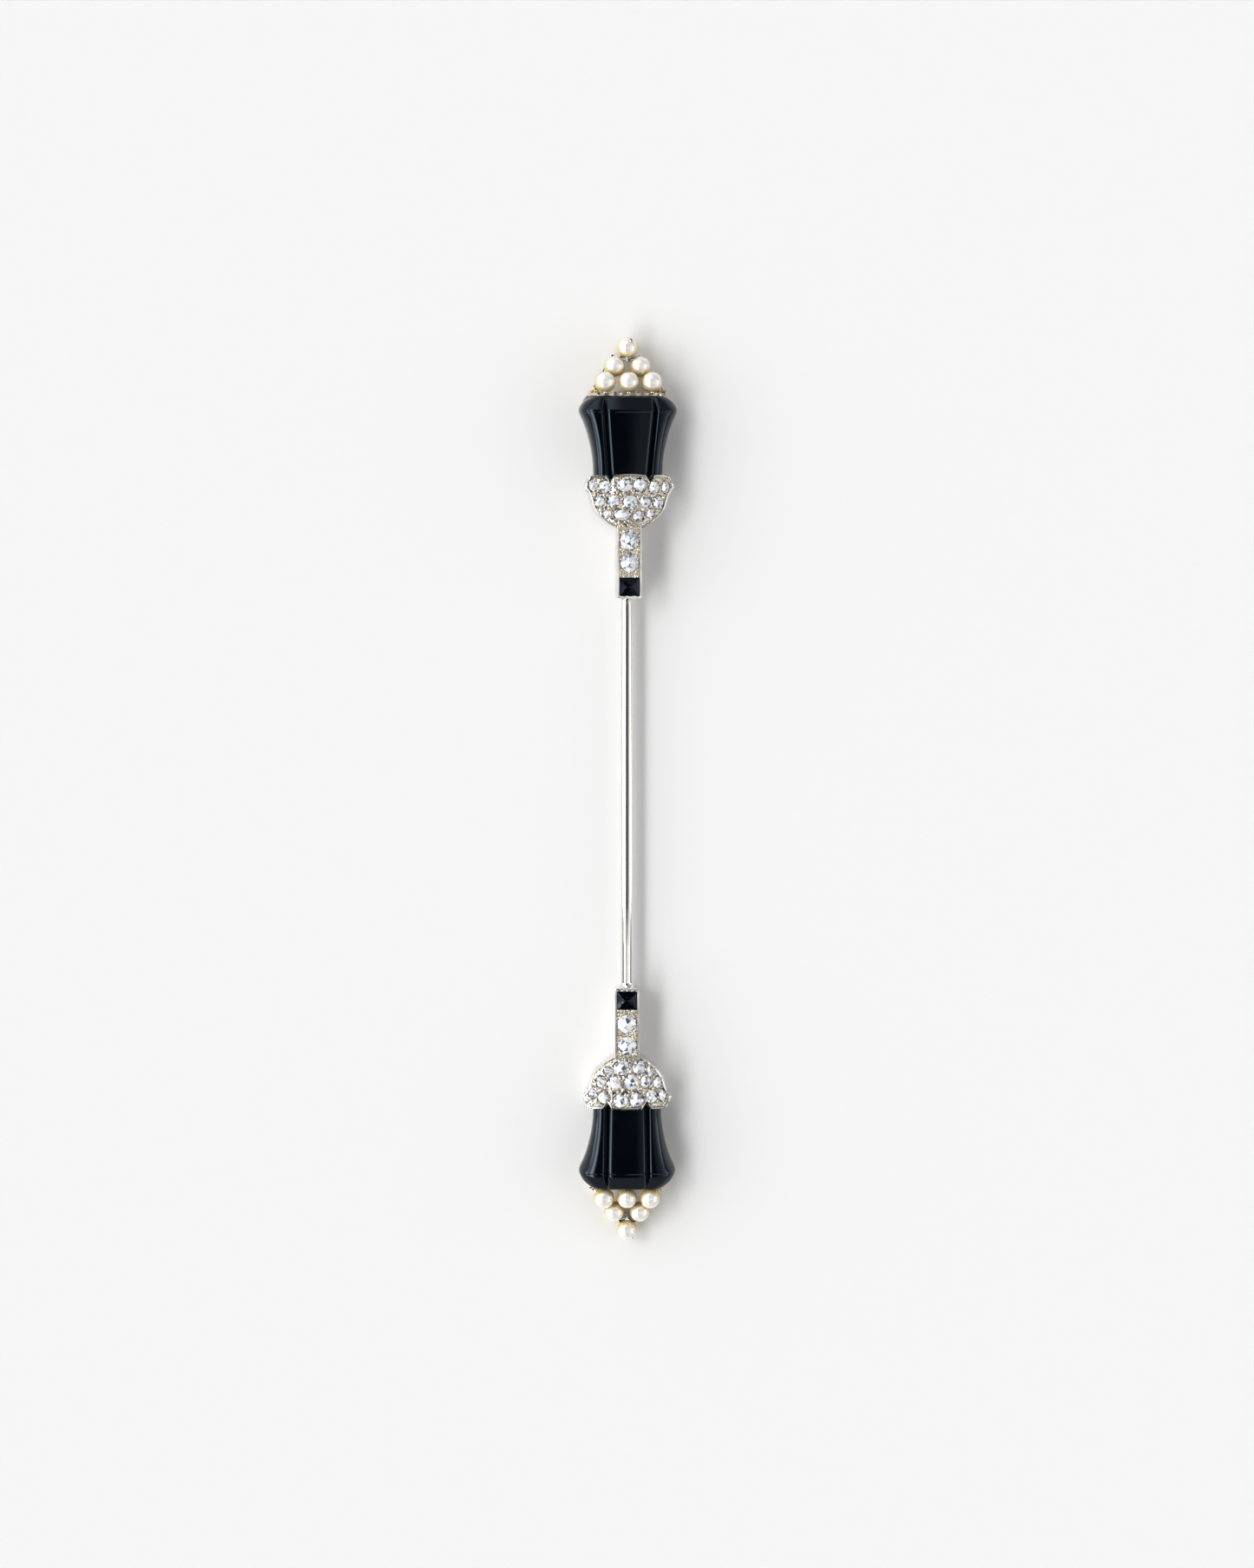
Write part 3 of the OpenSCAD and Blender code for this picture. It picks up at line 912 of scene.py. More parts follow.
@dataclass(frozen=True)
class RoseCutFinish:
    """Old rose-cut stone: icy and glassy, each facet painted with its own reflection, from dark through grey
    to white.
    """

    name: str = "rose_cut_painted_reflections"
    # painted facet reflections: dark, grey and white
    dark: Colour = (0.06, 0.08, 0.12)
    grey: Colour = (0.52, 0.60, 0.71)
    white: Colour = (1.0, 1.0, 1.0)
    cloud_share: float = 0.75

    def build(self, mottle: bpy.types.NodeTree) -> bpy.types.Material:
        """Makes the material.

        Args:
            mottle: the cloud group.

        Returns:
            The material.
        """
        finish = Finish(self.name, IOR=2.2, Transmission_Weight=0.12, Metallic=0.0)
        nodes = finish.nodes
        cloud = finish.group(mottle, Scale=3300.0, Contrast=2.8).outputs["Cloud"]
        drift = nodes.math("MULTIPLY", nodes.math("SUBTRACT", cloud, 0.5), self.cloud_share)
        # painted reflections: each facet's random value, clouded, picks a colour between dark, grey and white
        tone = nodes.math("ADD", finish.attribute("tone"), drift)
        facet = nodes.blend(nodes.step(tone, 0.0, 0.3), self.dark, self.grey)
        finish.feed(nodes.blend(nodes.step(tone, 0.3, 0.7), facet, self.white), "Base Color")
        finish.feed(nodes.step(cloud, 0.2, 0.8, 0.02, 0.09), "Roughness")
        return finish.material


class Palette:
    """Every finish of the pin, built once."""

    def __init__(self) -> None:
        """Builds the shared groups and the materials."""
        polish = polish_wear_group()
        mottle = mottle_group()
        tones = (
            MetalTone("polished_white_metal", bright=(0.86, 0.84, 0.80), dull=(0.74, 0.71, 0.66),
                      rough_low=0.07, rough_high=0.2, scale=1500.0, relief=0.0015),
            MetalTone("drawn_white_metal", bright=(0.88, 0.87, 0.85), dull=(0.80, 0.78, 0.74),
                      rough_low=0.05, rough_high=0.13, scale=1100.0, relief=0.0008),
            # the grain-set field is dark brown as painted shade: the shade that falls between the grains
            MetalTone("grain_set_metal_painted_shade", bright=(0.56, 0.48, 0.37), dull=(0.26, 0.20, 0.13),
                      rough_low=0.25, rough_high=0.5, scale=3600.0, relief=0.06, pits=0.85),
            MetalTone("bead_metal", bright=(0.93, 0.88, 0.79), dull=(0.55, 0.45, 0.31),
                      rough_low=0.16, rough_high=0.36, scale=4200.0, relief=0.02, pits=0.35),
            MetalTone("back_plate_metal", bright=(0.78, 0.74, 0.66), dull=(0.55, 0.50, 0.42),
                      rough_low=0.16, rough_high=0.34, scale=1300.0, relief=0.004),
            MetalTone("warm_tray_metal", bright=(0.90, 0.66, 0.30), dull=(0.50, 0.33, 0.13),
                      rough_low=0.16, rough_high=0.34, scale=1800.0, relief=0.02, pits=0.4))
        self.polished, self.wire, self.grain, self.bead, self.back, self.gold = (
            tone.build(polish, mottle) for tone in tones)
        self.onyx = OnyxFinish().build(mottle)
        self.pearl = PearlFinish().build(mottle)
        self.stone = RoseCutFinish().build(mottle)


# Pin wire

@dataclass
class PinWire:
    """The pin wire with its flared solder collar, shoulder, slimmer entry and sharp point."""

    palette: Palette
    sizes: Wire = WIRE
    flare_steps: int = 7
    lip: float = 0.05
    taper: Table = ((0.0, 1.0), (0.35, 0.74), (0.75, 0.36), (1.0, 0.1))

    def build(self) -> None:
        """Turns the wire from end to end."""
        wire, lip = self.sizes, self.lip
        half, r, slim = wire.free / 2, wire.d / 2, wire.in_d / 2
        start = -half - SIZES.bar_len / 3
        profile = [(start, 0.9 * r), (-half - 0.06, wire.collar_d / 2)]
        for share in spread(self.flare_steps):
            swell = (1 - share) ** 2.0
            profile.append((-half + share * wire.collar_len, r + swell * (wire.collar_d / 2 - r)))
        step = half - 2 * SIZES.seat_gap
        profile += [(step - lip, r), (step - 0.3 * lip, r - 0.3 * lip), (step, r - lip), (step + 0.02, slim)]
        shoulder = half + wire.reach_in - wire.point
        profile += [(shoulder + share * wire.point, width * slim) for share, width in self.taper]
        piece = lathe("pin_wire", profile, wire.z)
        mark(piece, "recess", no_darkening)
        hand_over(piece, Matrix.Identity(4), "pin", [self.palette.wire], "pin_mount")


# Bar

@dataclass
class Bar:
    """The long box at an end's inner end: raised rims round a sunk field that holds three stones.

    Each row of grains across a gap holds (place across, size) pairs, and beds are measured down from the
    top of the bar. All lengths are in millimetres.
    """

    end: EndPlace
    palette: Palette
    square_w: float = 1.98
    square_l: float = 1.78
    round_d: float = 1.74
    round_scale: tuple[float, float, float] = (0.93, 0.95, 0.5)
    free_shares: tuple[float, float, float, float] = (0.17, 0.36, 0.29, 0.18)
    rim_w: float = 0.15
    rim_in: float = 0.03
    rim_rise: float = 0.02
    rim_bed: float = 0.36
    rim_round: float = 0.068
    body_bed: float = 0.22
    field_drop: float = 0.14
    field_cuts: int = 48
    lip: float = 0.08
    grain_rise: float = 0.02
    grain_row: Table = ((-0.84, 0.3), (-0.56, 0.26), (-0.27, 0.2), (0.0, 0.17), (0.28, 0.2), (0.57, 0.26),
                        (0.84, 0.3))
    wedge_at: tuple[float, float] = (0.66, 0.36)
    wedge_turn: float = 0.95
    wedge_size: tuple[float, float, float] = (0.52, 0.17, 0.24)
    ring_count: int = 8
    loose_tries: int = 1500
    loose_sizes: tuple[float, float] = (0.09, 0.26)
    ring_sizes: tuple[float, float] = (0.12, 0.24)
    rng: random.Random = field(init=False)

    def __post_init__(self) -> None:
        """Places the stones along the bar from its free length."""
        self.rng = random.Random(self.end.seed)
        free = SIZES.bar_len - self.square_l - 2 * self.round_d
        self.square_at = self.free_shares[0] * free + self.square_l / 2
        self.outer_at = SIZES.bar_len - self.free_shares[3] * free - self.round_d / 2
        self.inner_at = self.outer_at - self.free_shares[2] * free - self.round_d

    @property
    def rim_half(self) -> float:
        """Half width of the rim's frame."""
        return SIZES.bar_w / 2 - self.rim_in

    @property
    def field_half(self) -> float:
        """Half width of the sunk field."""
        return self.rim_half - self.rim_w

    @property
    def field_z(self) -> float:
        """Height of the sunk field."""
        return SIZES.bar_h + self.rim_rise - self.field_drop

    @property
    def loose_half(self) -> float:
        """Half width of the part of the field that loose grains fill."""
        return SIZES.bar_w / 2 - self.rim_w - 0.08

    def body_rings(self) -> list[Ring]:
        """Sections of the bar's body, with softened front edges and a narrower back.

        Returns:
            Sections from the inner end to inside the calyx.
        """
        half, top = SIZES.bar_w / 2, SIZES.bar_h - self.body_bed
        taper_z = 0.36 * SIZES.bar_h
        outline = [(0.0, top), (half - 0.12, top), (half - 0.06, top - 0.01), (half - 0.02, top - 0.04),
                   (half, top - 0.1), (half, taper_z + 0.06), (half - 0.01, taper_z - 0.06),
                   (0.64 * half, 0.06), (0.6 * half, 0.0), (0.0, 0.0)]
        ends = [(0.0, 0.94), (0.05, 0.99), (0.1, 1.0), (SIZES.bar_len + 0.3, 1.0)]
        return [mirrored_ring([(x * share, z) for x, z in outline], y) for y, share in ends]

    def rim(self) -> Piece:
        """The raised frame round the field, pushed over the square stone's inner edge in small waves.

        Returns:
            The frame with its sunk field.
        """
        half, low, high = self.rim_half, SIZES.bar_h - self.rim_bed, SIZES.bar_h + self.rim_rise
        start, stop = self.lip, SIZES.bar_len + 0.1
        piece = block(self.end.node("bar_rim"), Vector((-half, start, low)), Vector((half, stop, high)))
        with editing(piece):
            choose(piece, Pick.FACES, lambda face: face.normal.z > 0.9)
            bpy.ops.mesh.inset(thickness=self.rim_w, depth=0)
            bpy.ops.mesh.extrude_region_move(TRANSFORM_OT_translate={"value": (0, 0, -self.field_drop)})
            bpy.ops.mesh.subdivide(number_cuts=self.field_cuts)
        with editing(piece, Pick.EDGES):
            choose(piece, Pick.EDGES, lambda edge: min(v.co.z for v in edge.verts) > high - 0.01)
            bpy.ops.mesh.subdivide(number_cuts=11)
        bevel_edges(piece, self.rim_round, 3, lambda edge: min(v.co.z for v in edge.verts) > high - 0.01
                    and len(edge.link_faces) == 2 and edge.calc_face_angle(0) > 0.5)
        for point in piece.data.vertices:
            if point.co.z > low + 0.05 and point.co.y < start + self.rim_w + 0.1:
                point.co.y += ripple(point.co.x, 0.03, 9.3, self.end.seed)
                point.co.z += ripple(point.co.x, 0.01, 12.1)
        return piece

    def grain_places(self, gap: float, level: float) -> list[Matrix]:
        """Places of the row of grains and the four wedges that fill a gap between two stones.

        Args:
            gap: the gap's place along the bar.
            level: height of the grains.

        Returns:
            A matrix for each grain.
        """
        places = []
        for x, size in self.grain_row:
            reach = 0.2 * abs(x) / 0.8
            for side in ((-1, 1) if abs(x) > 0.5 else (0,)):
                spot = Vector((x + self.rng.uniform(-0.03, 0.03), gap + side * reach, level))
                places.append(placed(spot, size, size, size))
        x, y = self.wedge_at
        for across in (-1, 1):
            for along in (-1, 1):
                spot = Vector((across * x, gap + along * y, level + 0.02))
                turn = Matrix.Rotation(across * along * self.wedge_turn, 4, "Z")
                places.append(Matrix.Translation(spot) @ turn @ Matrix.Diagonal((*self.wedge_size, 1)))
        return places

    def loose_spot(self) -> tuple[float, float]:
        """Any place on the field beyond the square stone."""
        half, start = self.loose_half, self.square_at + self.square_l / 2
        return self.rng.uniform(-half, half), self.rng.uniform(start, SIZES.bar_len)

    def loose_room(self, x: float, y: float) -> float:
        """Distance to the nearest stone or rim."""
        stones = min(math.hypot(x, y - at) for at in (self.inner_at, self.outer_at)) - self.round_d / 2
        return min(stones, self.loose_half + 0.05 - abs(x))

    def beads(self) -> Piece:
        """Grains that hold the round stones: rows and wedges in the gaps, a ring each, and loose ones.

        Returns:
            The grains as one piece.
        """
        places = []
        gaps = ((self.square_at + self.square_l / 2 + self.inner_at - self.round_d / 2) / 2,
                (self.inner_at + self.outer_at) / 2, self.outer_at + self.round_d / 2 + 0.1)
        level = SIZES.bar_h - self.field_drop + self.grain_rise
        for gap in gaps:
            places += self.grain_places(gap, level)
        for y in (self.inner_at, self.outer_at):
            for k in range(self.ring_count):
                angle = 2 * math.pi * (k + 0.5) / self.ring_count
                reach = 0.5 * self.round_d + 0.02
                spot = Vector((reach * math.cos(angle), y + reach * math.sin(angle), level))
                places.append(Matrix.Translation(spot) @ Matrix.Scale(self.rng.uniform(*self.ring_sizes), 4))
        for x, y, size in scatter(self.rng, self.loose_tries, self.loose_spot, self.loose_room,
                                  self.loose_sizes):
            places.append(placed((x, y, level), size, 0.8 * size, 0.2))
        return copies(self.end.node("bar_beads"), grain_model("bar_grain"), places, lumpy)

    def build(self) -> None:
        """Builds the bar, its beads and its three stones."""
        end, palette = self.end, self.palette
        body = loft(end.node("bar_body"), self.body_rings())
        bore_socket(body, end)
        mount_metal(body, end, [palette.polished])
        rim = self.rim()
        # the sunk field gets the grain-set metal, dark brown as painted shade between the grains
        for face in rim.data.polygons:
            low = face.center.z < self.field_z + 0.02 and abs(face.center.x) < self.field_half
            face.material_index = 1 if low and face.normal.z > 0.5 else 0
        # the field's recess mark holds painted shade along the rim's foot
        mount_metal(rim, end, [palette.polished, palette.grain], self.recess)
        mount_metal(self.beads(), end, [palette.bead])
        self.square_stone()
        self.round_stone("inner", self.inner_at)
        self.round_stone("outer", self.outer_at)

    def recess(self, point: Vector) -> float:
        """How dark the rim and its field are painted at a point: darker round the stones, and painted shade
        along the foot of the rim.

        Args:
            point: a point of the rim.

        Returns:
            From 0, plain metal, to 1, black.
        """
        if point.z > self.field_z + 0.03 or abs(point.x) > self.field_half + 0.02:
            return 0.0
        nearest = min(abs(math.hypot(point.x, point.y - y) - self.round_d / 2)
                      for y in (self.inner_at, self.outer_at))
        # painted shade along the foot of the rim, where the rim shades the field
        foot = min(self.field_half - abs(point.x), point.y - self.lip - self.rim_w)
        return min(1.0, max(0.15, 1.8 - 8.0 * nearest, 0.9 - 9.0 * foot))

    def round_stone(self, name: str, y: float) -> None:
        """One rose-cut stone on the field.

        Args:
            name: which of the two it is.
            y: its place along the bar.
        """
        level = SIZES.bar_h - self.field_drop + 0.04
        place = placed((0, y, level), *self.round_scale)
        stone = copies(self.end.node(f"bar_stone_{name}_cut"), rose_cut_model("bar_rose"), [place],
                       lambda point, i: worn_outline(point, y, 0.06))
        mark_facets(stone, "tone", self.rng)
        hand_over(stone, self.end.place, self.end.body, [self.palette.stone],
                  self.end.node(f"bar_stone_{name}"), smooth=None)

    def square_stone(self) -> None:
        """The black buff-top square: a bevelled band all round a low dome."""
        half_w, half_l, base = self.square_w / 2, self.square_l / 2, SIZES.bar_h - 0.3
        top, dome_in, dome = SIZES.bar_h + self.rim_rise, 0.43, 0.13
        piece = block(self.end.node("square_cut"), Vector((-half_w, self.square_at - half_l, base)),
                      Vector((half_w, self.square_at + half_l, top)))
        with editing(piece):
            choose(piece, Pick.FACES, lambda face: face.normal.z > 0.9)
            for width, rise in ((0.04, 0.03), (0.34, 0.17), (0.05, 0.01)):
                bpy.ops.mesh.inset(thickness=width, depth=rise)
            bpy.ops.mesh.subdivide(number_cuts=12)
        for point in piece.data.vertices:
            if point.co.z > top + 0.2:
                u = abs(point.co.x) / (half_w - dome_in)
                v = abs(point.co.y - self.square_at) / (half_l - dome_in)
                point.co.z += dome * (1 - min(1.0, u) ** 2) * (1 - min(1.0, v) ** 2)
        bevel_edges(piece, 0.05, 3, lambda edge: middle_of(edge).z > base + 0.1
                    and edge.calc_face_angle(0) > 0.3)
        hand_over(piece, self.end.place, self.end.body, [self.palette.onyx],
                  self.end.node("square_stone"), smooth=50)


def bore_socket(piece: Piece, end: EndPlace) -> None:
    """Bores the round socket for the wire and its clutch, where an end has one.

    Args:
        piece: the piece.
        end: the end that it belongs to.
    """
    if end.socket_z is None:
        return
    start, stop = SIZES.bore_from, SIZES.bore_to
    clear_selection()
    bpy.ops.mesh.primitive_cylinder_add(vertices=48, radius=SIZES.bore_d / 2, depth=stop - start,
                                        rotation=(math.pi / 2, 0, 0),
                                        location=(0, (start + stop) / 2, end.socket_z))
    cut_away(piece, bpy.context.object)


def grain_model(name: str) -> Piece:
    """A small raised grain of metal, one unit across and flattened.

    Args:
        name: name of the piece.

    Returns:
        The grain about the origin.
    """
    clear_selection()
    bpy.ops.mesh.primitive_ico_sphere_add(subdivisions=2, radius=0.5)
    piece = bpy.context.object
    piece.name = piece.data.name = name
    with editing(piece):
        choose(piece, Pick.FACES, lambda face: face.normal.z > 0.6)
        bpy.ops.transform.resize(value=(1.1, 1.1, 0.8), center_override=(0, 0, 0.3))
    return piece


def scatter(rng: random.Random, tries: int, spot: Callable[[], tuple[float, float]],
            room: Callable[[float, float], float],
            sizes: tuple[float, float]) -> list[tuple[float, float, float]]:
    """Finds places for grains that crowd a field without covering one another.

    Args:
        rng: source of the random choices.
        tries: how many places are tried.
        spot: gives a place to try.
        room: gives the free distance about a place.
        sizes: smallest and largest width of a grain.

    Returns:
        Places across and along, each with its grain's width.
    """
    kept = []
    for _ in range(tries):
        x, y = spot()
        size = min(sizes[1], 2.6 * room(x, y)) * rng.uniform(0.7, 1.0)
        if size > sizes[0] and all(math.hypot(x - a, y - b) > 0.4 * (size + c) for a, b, c in kept):
            kept.append((x, y, size))
    return kept


def lumpy(point: Vector, i: int) -> Vector:
    """Gives each grain its own lumps and dents."""
    return point + 0.2 * noise.noise_vector(2.6 * point + Vector((3.7 * i, 1.3 * i, 0.0)))


def rose_cut_model(name: str) -> Piece:
    """A rose-cut stone of radius 1 and height 1: six facets round its point, eighteen below, a flat back.

    Args:
        name: name of the piece.

    Returns:
        The stone, its widest edge at the height of the origin.
    """
    star_r, star_z, twist, base_z, base_r = 0.56, 0.62, 0.26, -0.5, 0.86
    clear_selection()
    bpy.ops.mesh.primitive_circle_add(vertices=12, radius=1.0, location=(0, 0, 0))
    girdle = bpy.context.object
    bpy.ops.mesh.primitive_circle_add(vertices=6, radius=star_r, location=(0, 0, star_z),
                                      rotation=(0, 0, twist))
    star = bpy.context.object
    bpy.ops.object.transform_apply()
    piece = join(name, [girdle, star])
    with editing(piece, Pick.EDGES):
        bpy.ops.mesh.select_all(action="SELECT")
        bpy.ops.mesh.bridge_edge_loops()
        choose(piece, Pick.EDGES, lambda edge: min(v.co.z for v in edge.verts) > star_z - 0.02)
        bpy.ops.mesh.edge_face_add()
        choose(piece, Pick.FACES, lambda face: face.calc_center_median().z > star_z - 0.01)
        bpy.ops.mesh.poke()
        form = bmesh.from_edit_mesh(piece.data)
        for point in form.verts:
            if point.co.xy.length < 0.05:
                point.co.z = 1.0
        bmesh.update_edit_mesh(piece.data)
        choose(piece, Pick.EDGES, lambda edge: max(v.co.z for v in edge.verts) < 0.01)
        bpy.ops.mesh.extrude_region_move(TRANSFORM_OT_translate={"value": (0, 0, base_z)})
        bpy.ops.transform.resize(value=(base_r, base_r, 1), center_override=(0, 0, base_z))
        bpy.ops.mesh.edge_face_add()
        bpy.ops.mesh.select_all(action="SELECT")
        bpy.ops.mesh.quads_convert_to_tris()
        bpy.ops.mesh.normals_make_consistent(inside=False)
    return piece


def worn_outline(point: Vector, phase: float, amount: float = 0.13) -> Vector:
    """Gives an old stone its uneven outline and facets, different for each phase."""
    shift = amount * noise.noise_vector(1.9 * point + Vector((7.1 * phase, 2.3 * phase, 0.0)))
    return point + Vector((shift.x, shift.y, 0.4 * shift.z if point.z > 0 else 0.0))


# Calyx

@dataclass
class Calyx:
    """The three-petalled bowl that holds the onyx, with its rim, sunk grain-set field and small stones.

    The bowl's rows hold a share of its length, its half width and its front height as shares of the widest.
    """

    end: EndPlace
    palette: Palette
    bowl: Table = (
        (0.0, 0.3, 0.83), (0.04, 0.39, 0.85), (0.1, 0.495, 0.875), (0.17, 0.6, 0.89), (0.25, 0.705, 0.9),
        (0.34, 0.785, 0.91), (0.44, 0.832, 0.92), (0.56, 0.866, 0.93), (0.68, 0.912, 0.945),
        (0.78, 0.962, 0.965), (0.87, 1.0, 0.985), (1.0, 0.925, 1.0))
    side: Table = ((0.995, 0.45), (0.985, 0.22), (0.95, 0.07), (0.9, 0.0), (0.45, 0.0), (0.0, 0.0))
    end_rows: Table = ((0.962, -0.01), (0.968, -0.03), (0.988, -0.03), (0.996, 0.0), (1.0, 0.04))
    band: float = 0.24
    rim_w: float = 0.14
    field_drop: float = 0.12
    field_to: float = 0.955
    shaded_field_to: float = 0.957
    seat_ring: float = 0.12
    well: float = 0.2
    inner_power: float = 3.2
    columns: int = 130
    rows: int = 92
    grain_tries: int = 5200
    grain_sizes: tuple[float, float] = (0.11, 0.42)
    grain_clear: float = 0.03
    claws: int = 5
    claw_sizes: tuple[float, float] = (0.2, 0.32)
    rng: random.Random = field(init=False)

    def __post_init__(self) -> None:
        """Seeds this end's own choices."""
        self.rng = random.Random(self.end.seed + 1)

    def widths(self, y: float) -> tuple[float, float]:
        """Half width and front height of the bowl at a place along the end."""
        half, front = smooth_row(self.bowl, (y - SIZES.bar_len) / SIZES.calyx_len)
        return half * SIZES.calyx_half, front * SIZES.calyx_front

    def rim_y(self, x: float) -> float:
        """The petals' edge: notched between the petals, with softened outer corners.

        Args:
            x: place across.

        Returns:
            Place along the end.
        """
        reach = abs(abs(x) - SIZES.calyx_groove) / (SIZES.notch_w / 2)
        notch = SIZES.notch_d * max(0.0, 1 - reach) ** 0.85
        crown = 0.1 * (1 - min(1.0, abs(x) / 1.3) ** 2)
        corner = 0.34 * max(0.0, (abs(x) - 3.3) / 0.7) ** 2
        return SIZES.rim_at + self.end.petal_reach + crown - notch - min(corner, 0.5)

    def along(self, share: float, x: float) -> float:
        """Place along the end at a share of the way to the petals' edge."""
        return SIZES.bar_len + share * (self.rim_y(x) - SIZES.bar_len)

    def front(self, x: float, y: float) -> float:
        """Height of the polished front before the field is sunk.

        Args:
            x: place across.
            y: place along the end.

        Returns:
            The height.
        """
        half, top = self.widths(y)
        low = SIZES.calyx_wide * top
        share = min(1.0, abs(x) / half)
        growth = min(1.0, max(0.0, (y - SIZES.bar_len) / SIZES.calyx_len - 0.1) / 0.6)
        valley = min(SIZES.calyx_groove, 0.52 * half)
        away = min(1.0, abs(abs(x) - valley) / 0.5)
        dent = 0.5 * (1 + math.cos(math.pi * away)) * 0.4 * SIZES.calyx_groove_d * growth
        return top - (top - low) * 0.85 * share ** 2.2 - dent

    def stone_gaps(self, x: float, y: float) -> Iterator[float]:
        """Distance from a point to the edge of each small stone, below zero inside it.

        Args:
            x: place across.
            y: place along the end.

        Returns:
            One distance for each stone.
        """
        for across, along, width, length in self.end.stones:
            reach = math.hypot((x - across) / (width / 2), (y - along) / (length / 2))
            yield (reach - 1) * (width + length) / 4

    def seat(self, x: float, y: float) -> tuple[float, float]:
        """How far the field dips at a point for the stones, and how dark it is painted there.

        Args:
            x: place across.
            y: place along the end.

        Returns:
            Depth of the dip, and darkness from 0 to 1.
        """
        dip, dirt_and_shade, ring = 0.0, 0.12, self.seat_ring
        for away in self.stone_gaps(x, y):
            if away < 0:
                return self.well, 1.0
            if away < ring:
                dip = max(dip, 0.14 * (1 - away / ring))
                dirt_and_shade = max(dirt_and_shade, 1.2 - away / 0.1)
        return dip, min(1.0, dirt_and_shade)

    def skin_point(self, share: float, x: float, drop: float) -> Vector:
        """A point on the front at a share of the length, let down by a drop."""
        y = self.along(share, x)
        return Vector((x, y, self.front(x, y) - drop))

    def half_ring(self, share: float, extra: float = 0.0) -> list[Vector]:
        """Right half of the outer section at a share of the length, which bends to the petals' edge.

        Args:
            share: share of the length.
            extra: a drop in place of the sunk field's, or 0 for the field.

        Returns:
            Points from the middle of the front to the middle of the back.
        """
        flat_y = SIZES.bar_len + share * SIZES.calyx_len
        half, top = self.widths(flat_y)
        inner = half - self.band
        points = []
        for u in spread(self.columns // 2):
            x = u * inner
            drop = self.field_drop + self.seat(x, self.along(share, x))[0] if extra == 0 else extra
            points.append(self.skin_point(share, x, drop))
        lip = ((inner + 0.02, -0.01), (inner + 0.05, -0.03), (inner + self.rim_w - 0.04, -0.03),
               (inner + self.rim_w, 0.0), (half - 0.06, 0.03), (half - 0.02, 0.09))
        points += [self.skin_point(share, x, drop) for x, drop in lip]
        edge_y = points[-1].y
        low = SIZES.calyx_wide * top
        wall = [(half, low - 0.02), (half, 0.7 * low)] + [(u * half, v * low) for u, v in self.side]
        return points + [Vector((x, edge_y if x > 0.5 * half else flat_y, z)) for x, z in wall]

    def ring(self, share: float, extra: float = 0.0) -> Ring:
        """Whole section, with each side's own seats for the stones.

        Args:
            share: share of the length.
            extra: as in half_ring.

        Returns:
            The closed ring.
        """
        right = self.half_ring(share, extra)
        left = [Vector((-p.x, p.y, p.z)) for p in right]
        if extra == 0:
            for point in left[:self.columns // 2 + 1]:
                own = self.seat(point.x, point.y)[0] - self.seat(-point.x, point.y)[0]
                point.z -= own
        return left[::-1] + right[1:]

    def inner_ring(self, y_shift: float) -> Ring:
        """Section of the bowl's inside, which follows the onyx.

        Args:
            y_shift: how far it lies inside the petals' edge, or the bowl's whole depth.

        Returns:
            The closed ring.
        """
        outer = self.half_ring(1.0, 0.0)
        half, top = SIZES.neck_half + SIZES.seat_gap, SIZES.neck_front + SIZES.seat_gap
        wide, front_count = self.widths(SIZES.rim_at)[0], len(outer) - len(self.side) - 2
        points = []
        for i, point in enumerate(outer):
            x = min(point.x / wide, 1.0) * half
            drop = (top - SIZES.bell_wide) * min(1.0, x / half) ** self.inner_power
            z = top - drop if i < front_count else min(point.z, SIZES.bell_wide)
            y = point.y + y_shift if y_shift > -0.5 else SIZES.rim_at + y_shift
            points.append(Vector((x, y, max(z, SIZES.plate_t))))
        left = [Vector((-p.x, p.y, p.z)) for p in points]
        return left[::-1] + points[1:]

    def shell(self) -> Piece:
        """The bowl's whole skin: field, rims, walls, lip and inside.

        Returns:
            The bowl.
        """
        rings = [self.ring(i / self.rows * self.field_to) for i in range(self.rows + 1)]
        rings += [self.ring(share, extra) for share, extra in self.end_rows]
        rings += [self.inner_ring(-0.02), self.inner_ring(-SIZES.foot_in)]
        return loft(self.end.node("calyx"), rings)

    def recess(self, point: Vector) -> float:
        """How dark the metal is painted at a point: darker round the stones, and painted shade along the
        field's edges, at the foot of the band round it.

        Args:
            point: a point of the bowl.

        Returns:
            From 0 to 1.
        """
        half = self.widths(point.y)[0] if point.y > SIZES.bar_len else 0
        if abs(point.x) > half - self.band + 0.01 or point.z < 2.6:
            return 0.0
        edge = self.along(self.shaded_field_to, point.x)
        if point.y > edge:
            return 0.0
        # painted shade along the field's edges, where the band round it shades the field
        foot = min(half - self.band - abs(point.x), edge - point.y)
        return max(self.seat(point.x, point.y)[1], 0.8 - 6 * foot)

    def on_front(self, x: float, y: float, rise: float = 0.0) -> Matrix:
        """Place on the sunk field with its Z out of the surface.

        Args:
            x: place across.
            y: place along the end.
            rise: height above the field.

        Returns:
            The place as a matrix.
        """
        reach = 0.2
        slope_x = (self.front(x + reach, y) - self.front(x - reach, y)) / (2 * reach)
        slope_y = (self.front(x, y + reach) - self.front(x, y - reach)) / (2 * reach)
        normal = Vector((-slope_x, -slope_y, 1)).normalized()
        spot = Vector((x, y, self.front(x, y) - self.field_drop)) + rise * normal
        turn = Vector((0, 0, 1)).rotation_difference(normal).to_matrix().to_4x4()
        return Matrix.Translation(spot) @ turn

    def grain_spot(self) -> tuple[float, float]:
        """Any place on the field.

        Returns:
            Place across and along.
        """
        y = self.rng.uniform(SIZES.bar_len + 0.15, SIZES.rim_at)
        half = self.widths(y)[0] - self.band
        return self.rng.uniform(-half, half), y

    def grain_room(self, x: float, y: float) -> float:
        """Distance to the nearest stone or rim."""
        free = min(self.widths(y)[0] - self.band - abs(x), self.along(self.field_to, x) - y)
        return min(free, *(gap - self.grain_clear for gap in self.stone_gaps(x, y)))

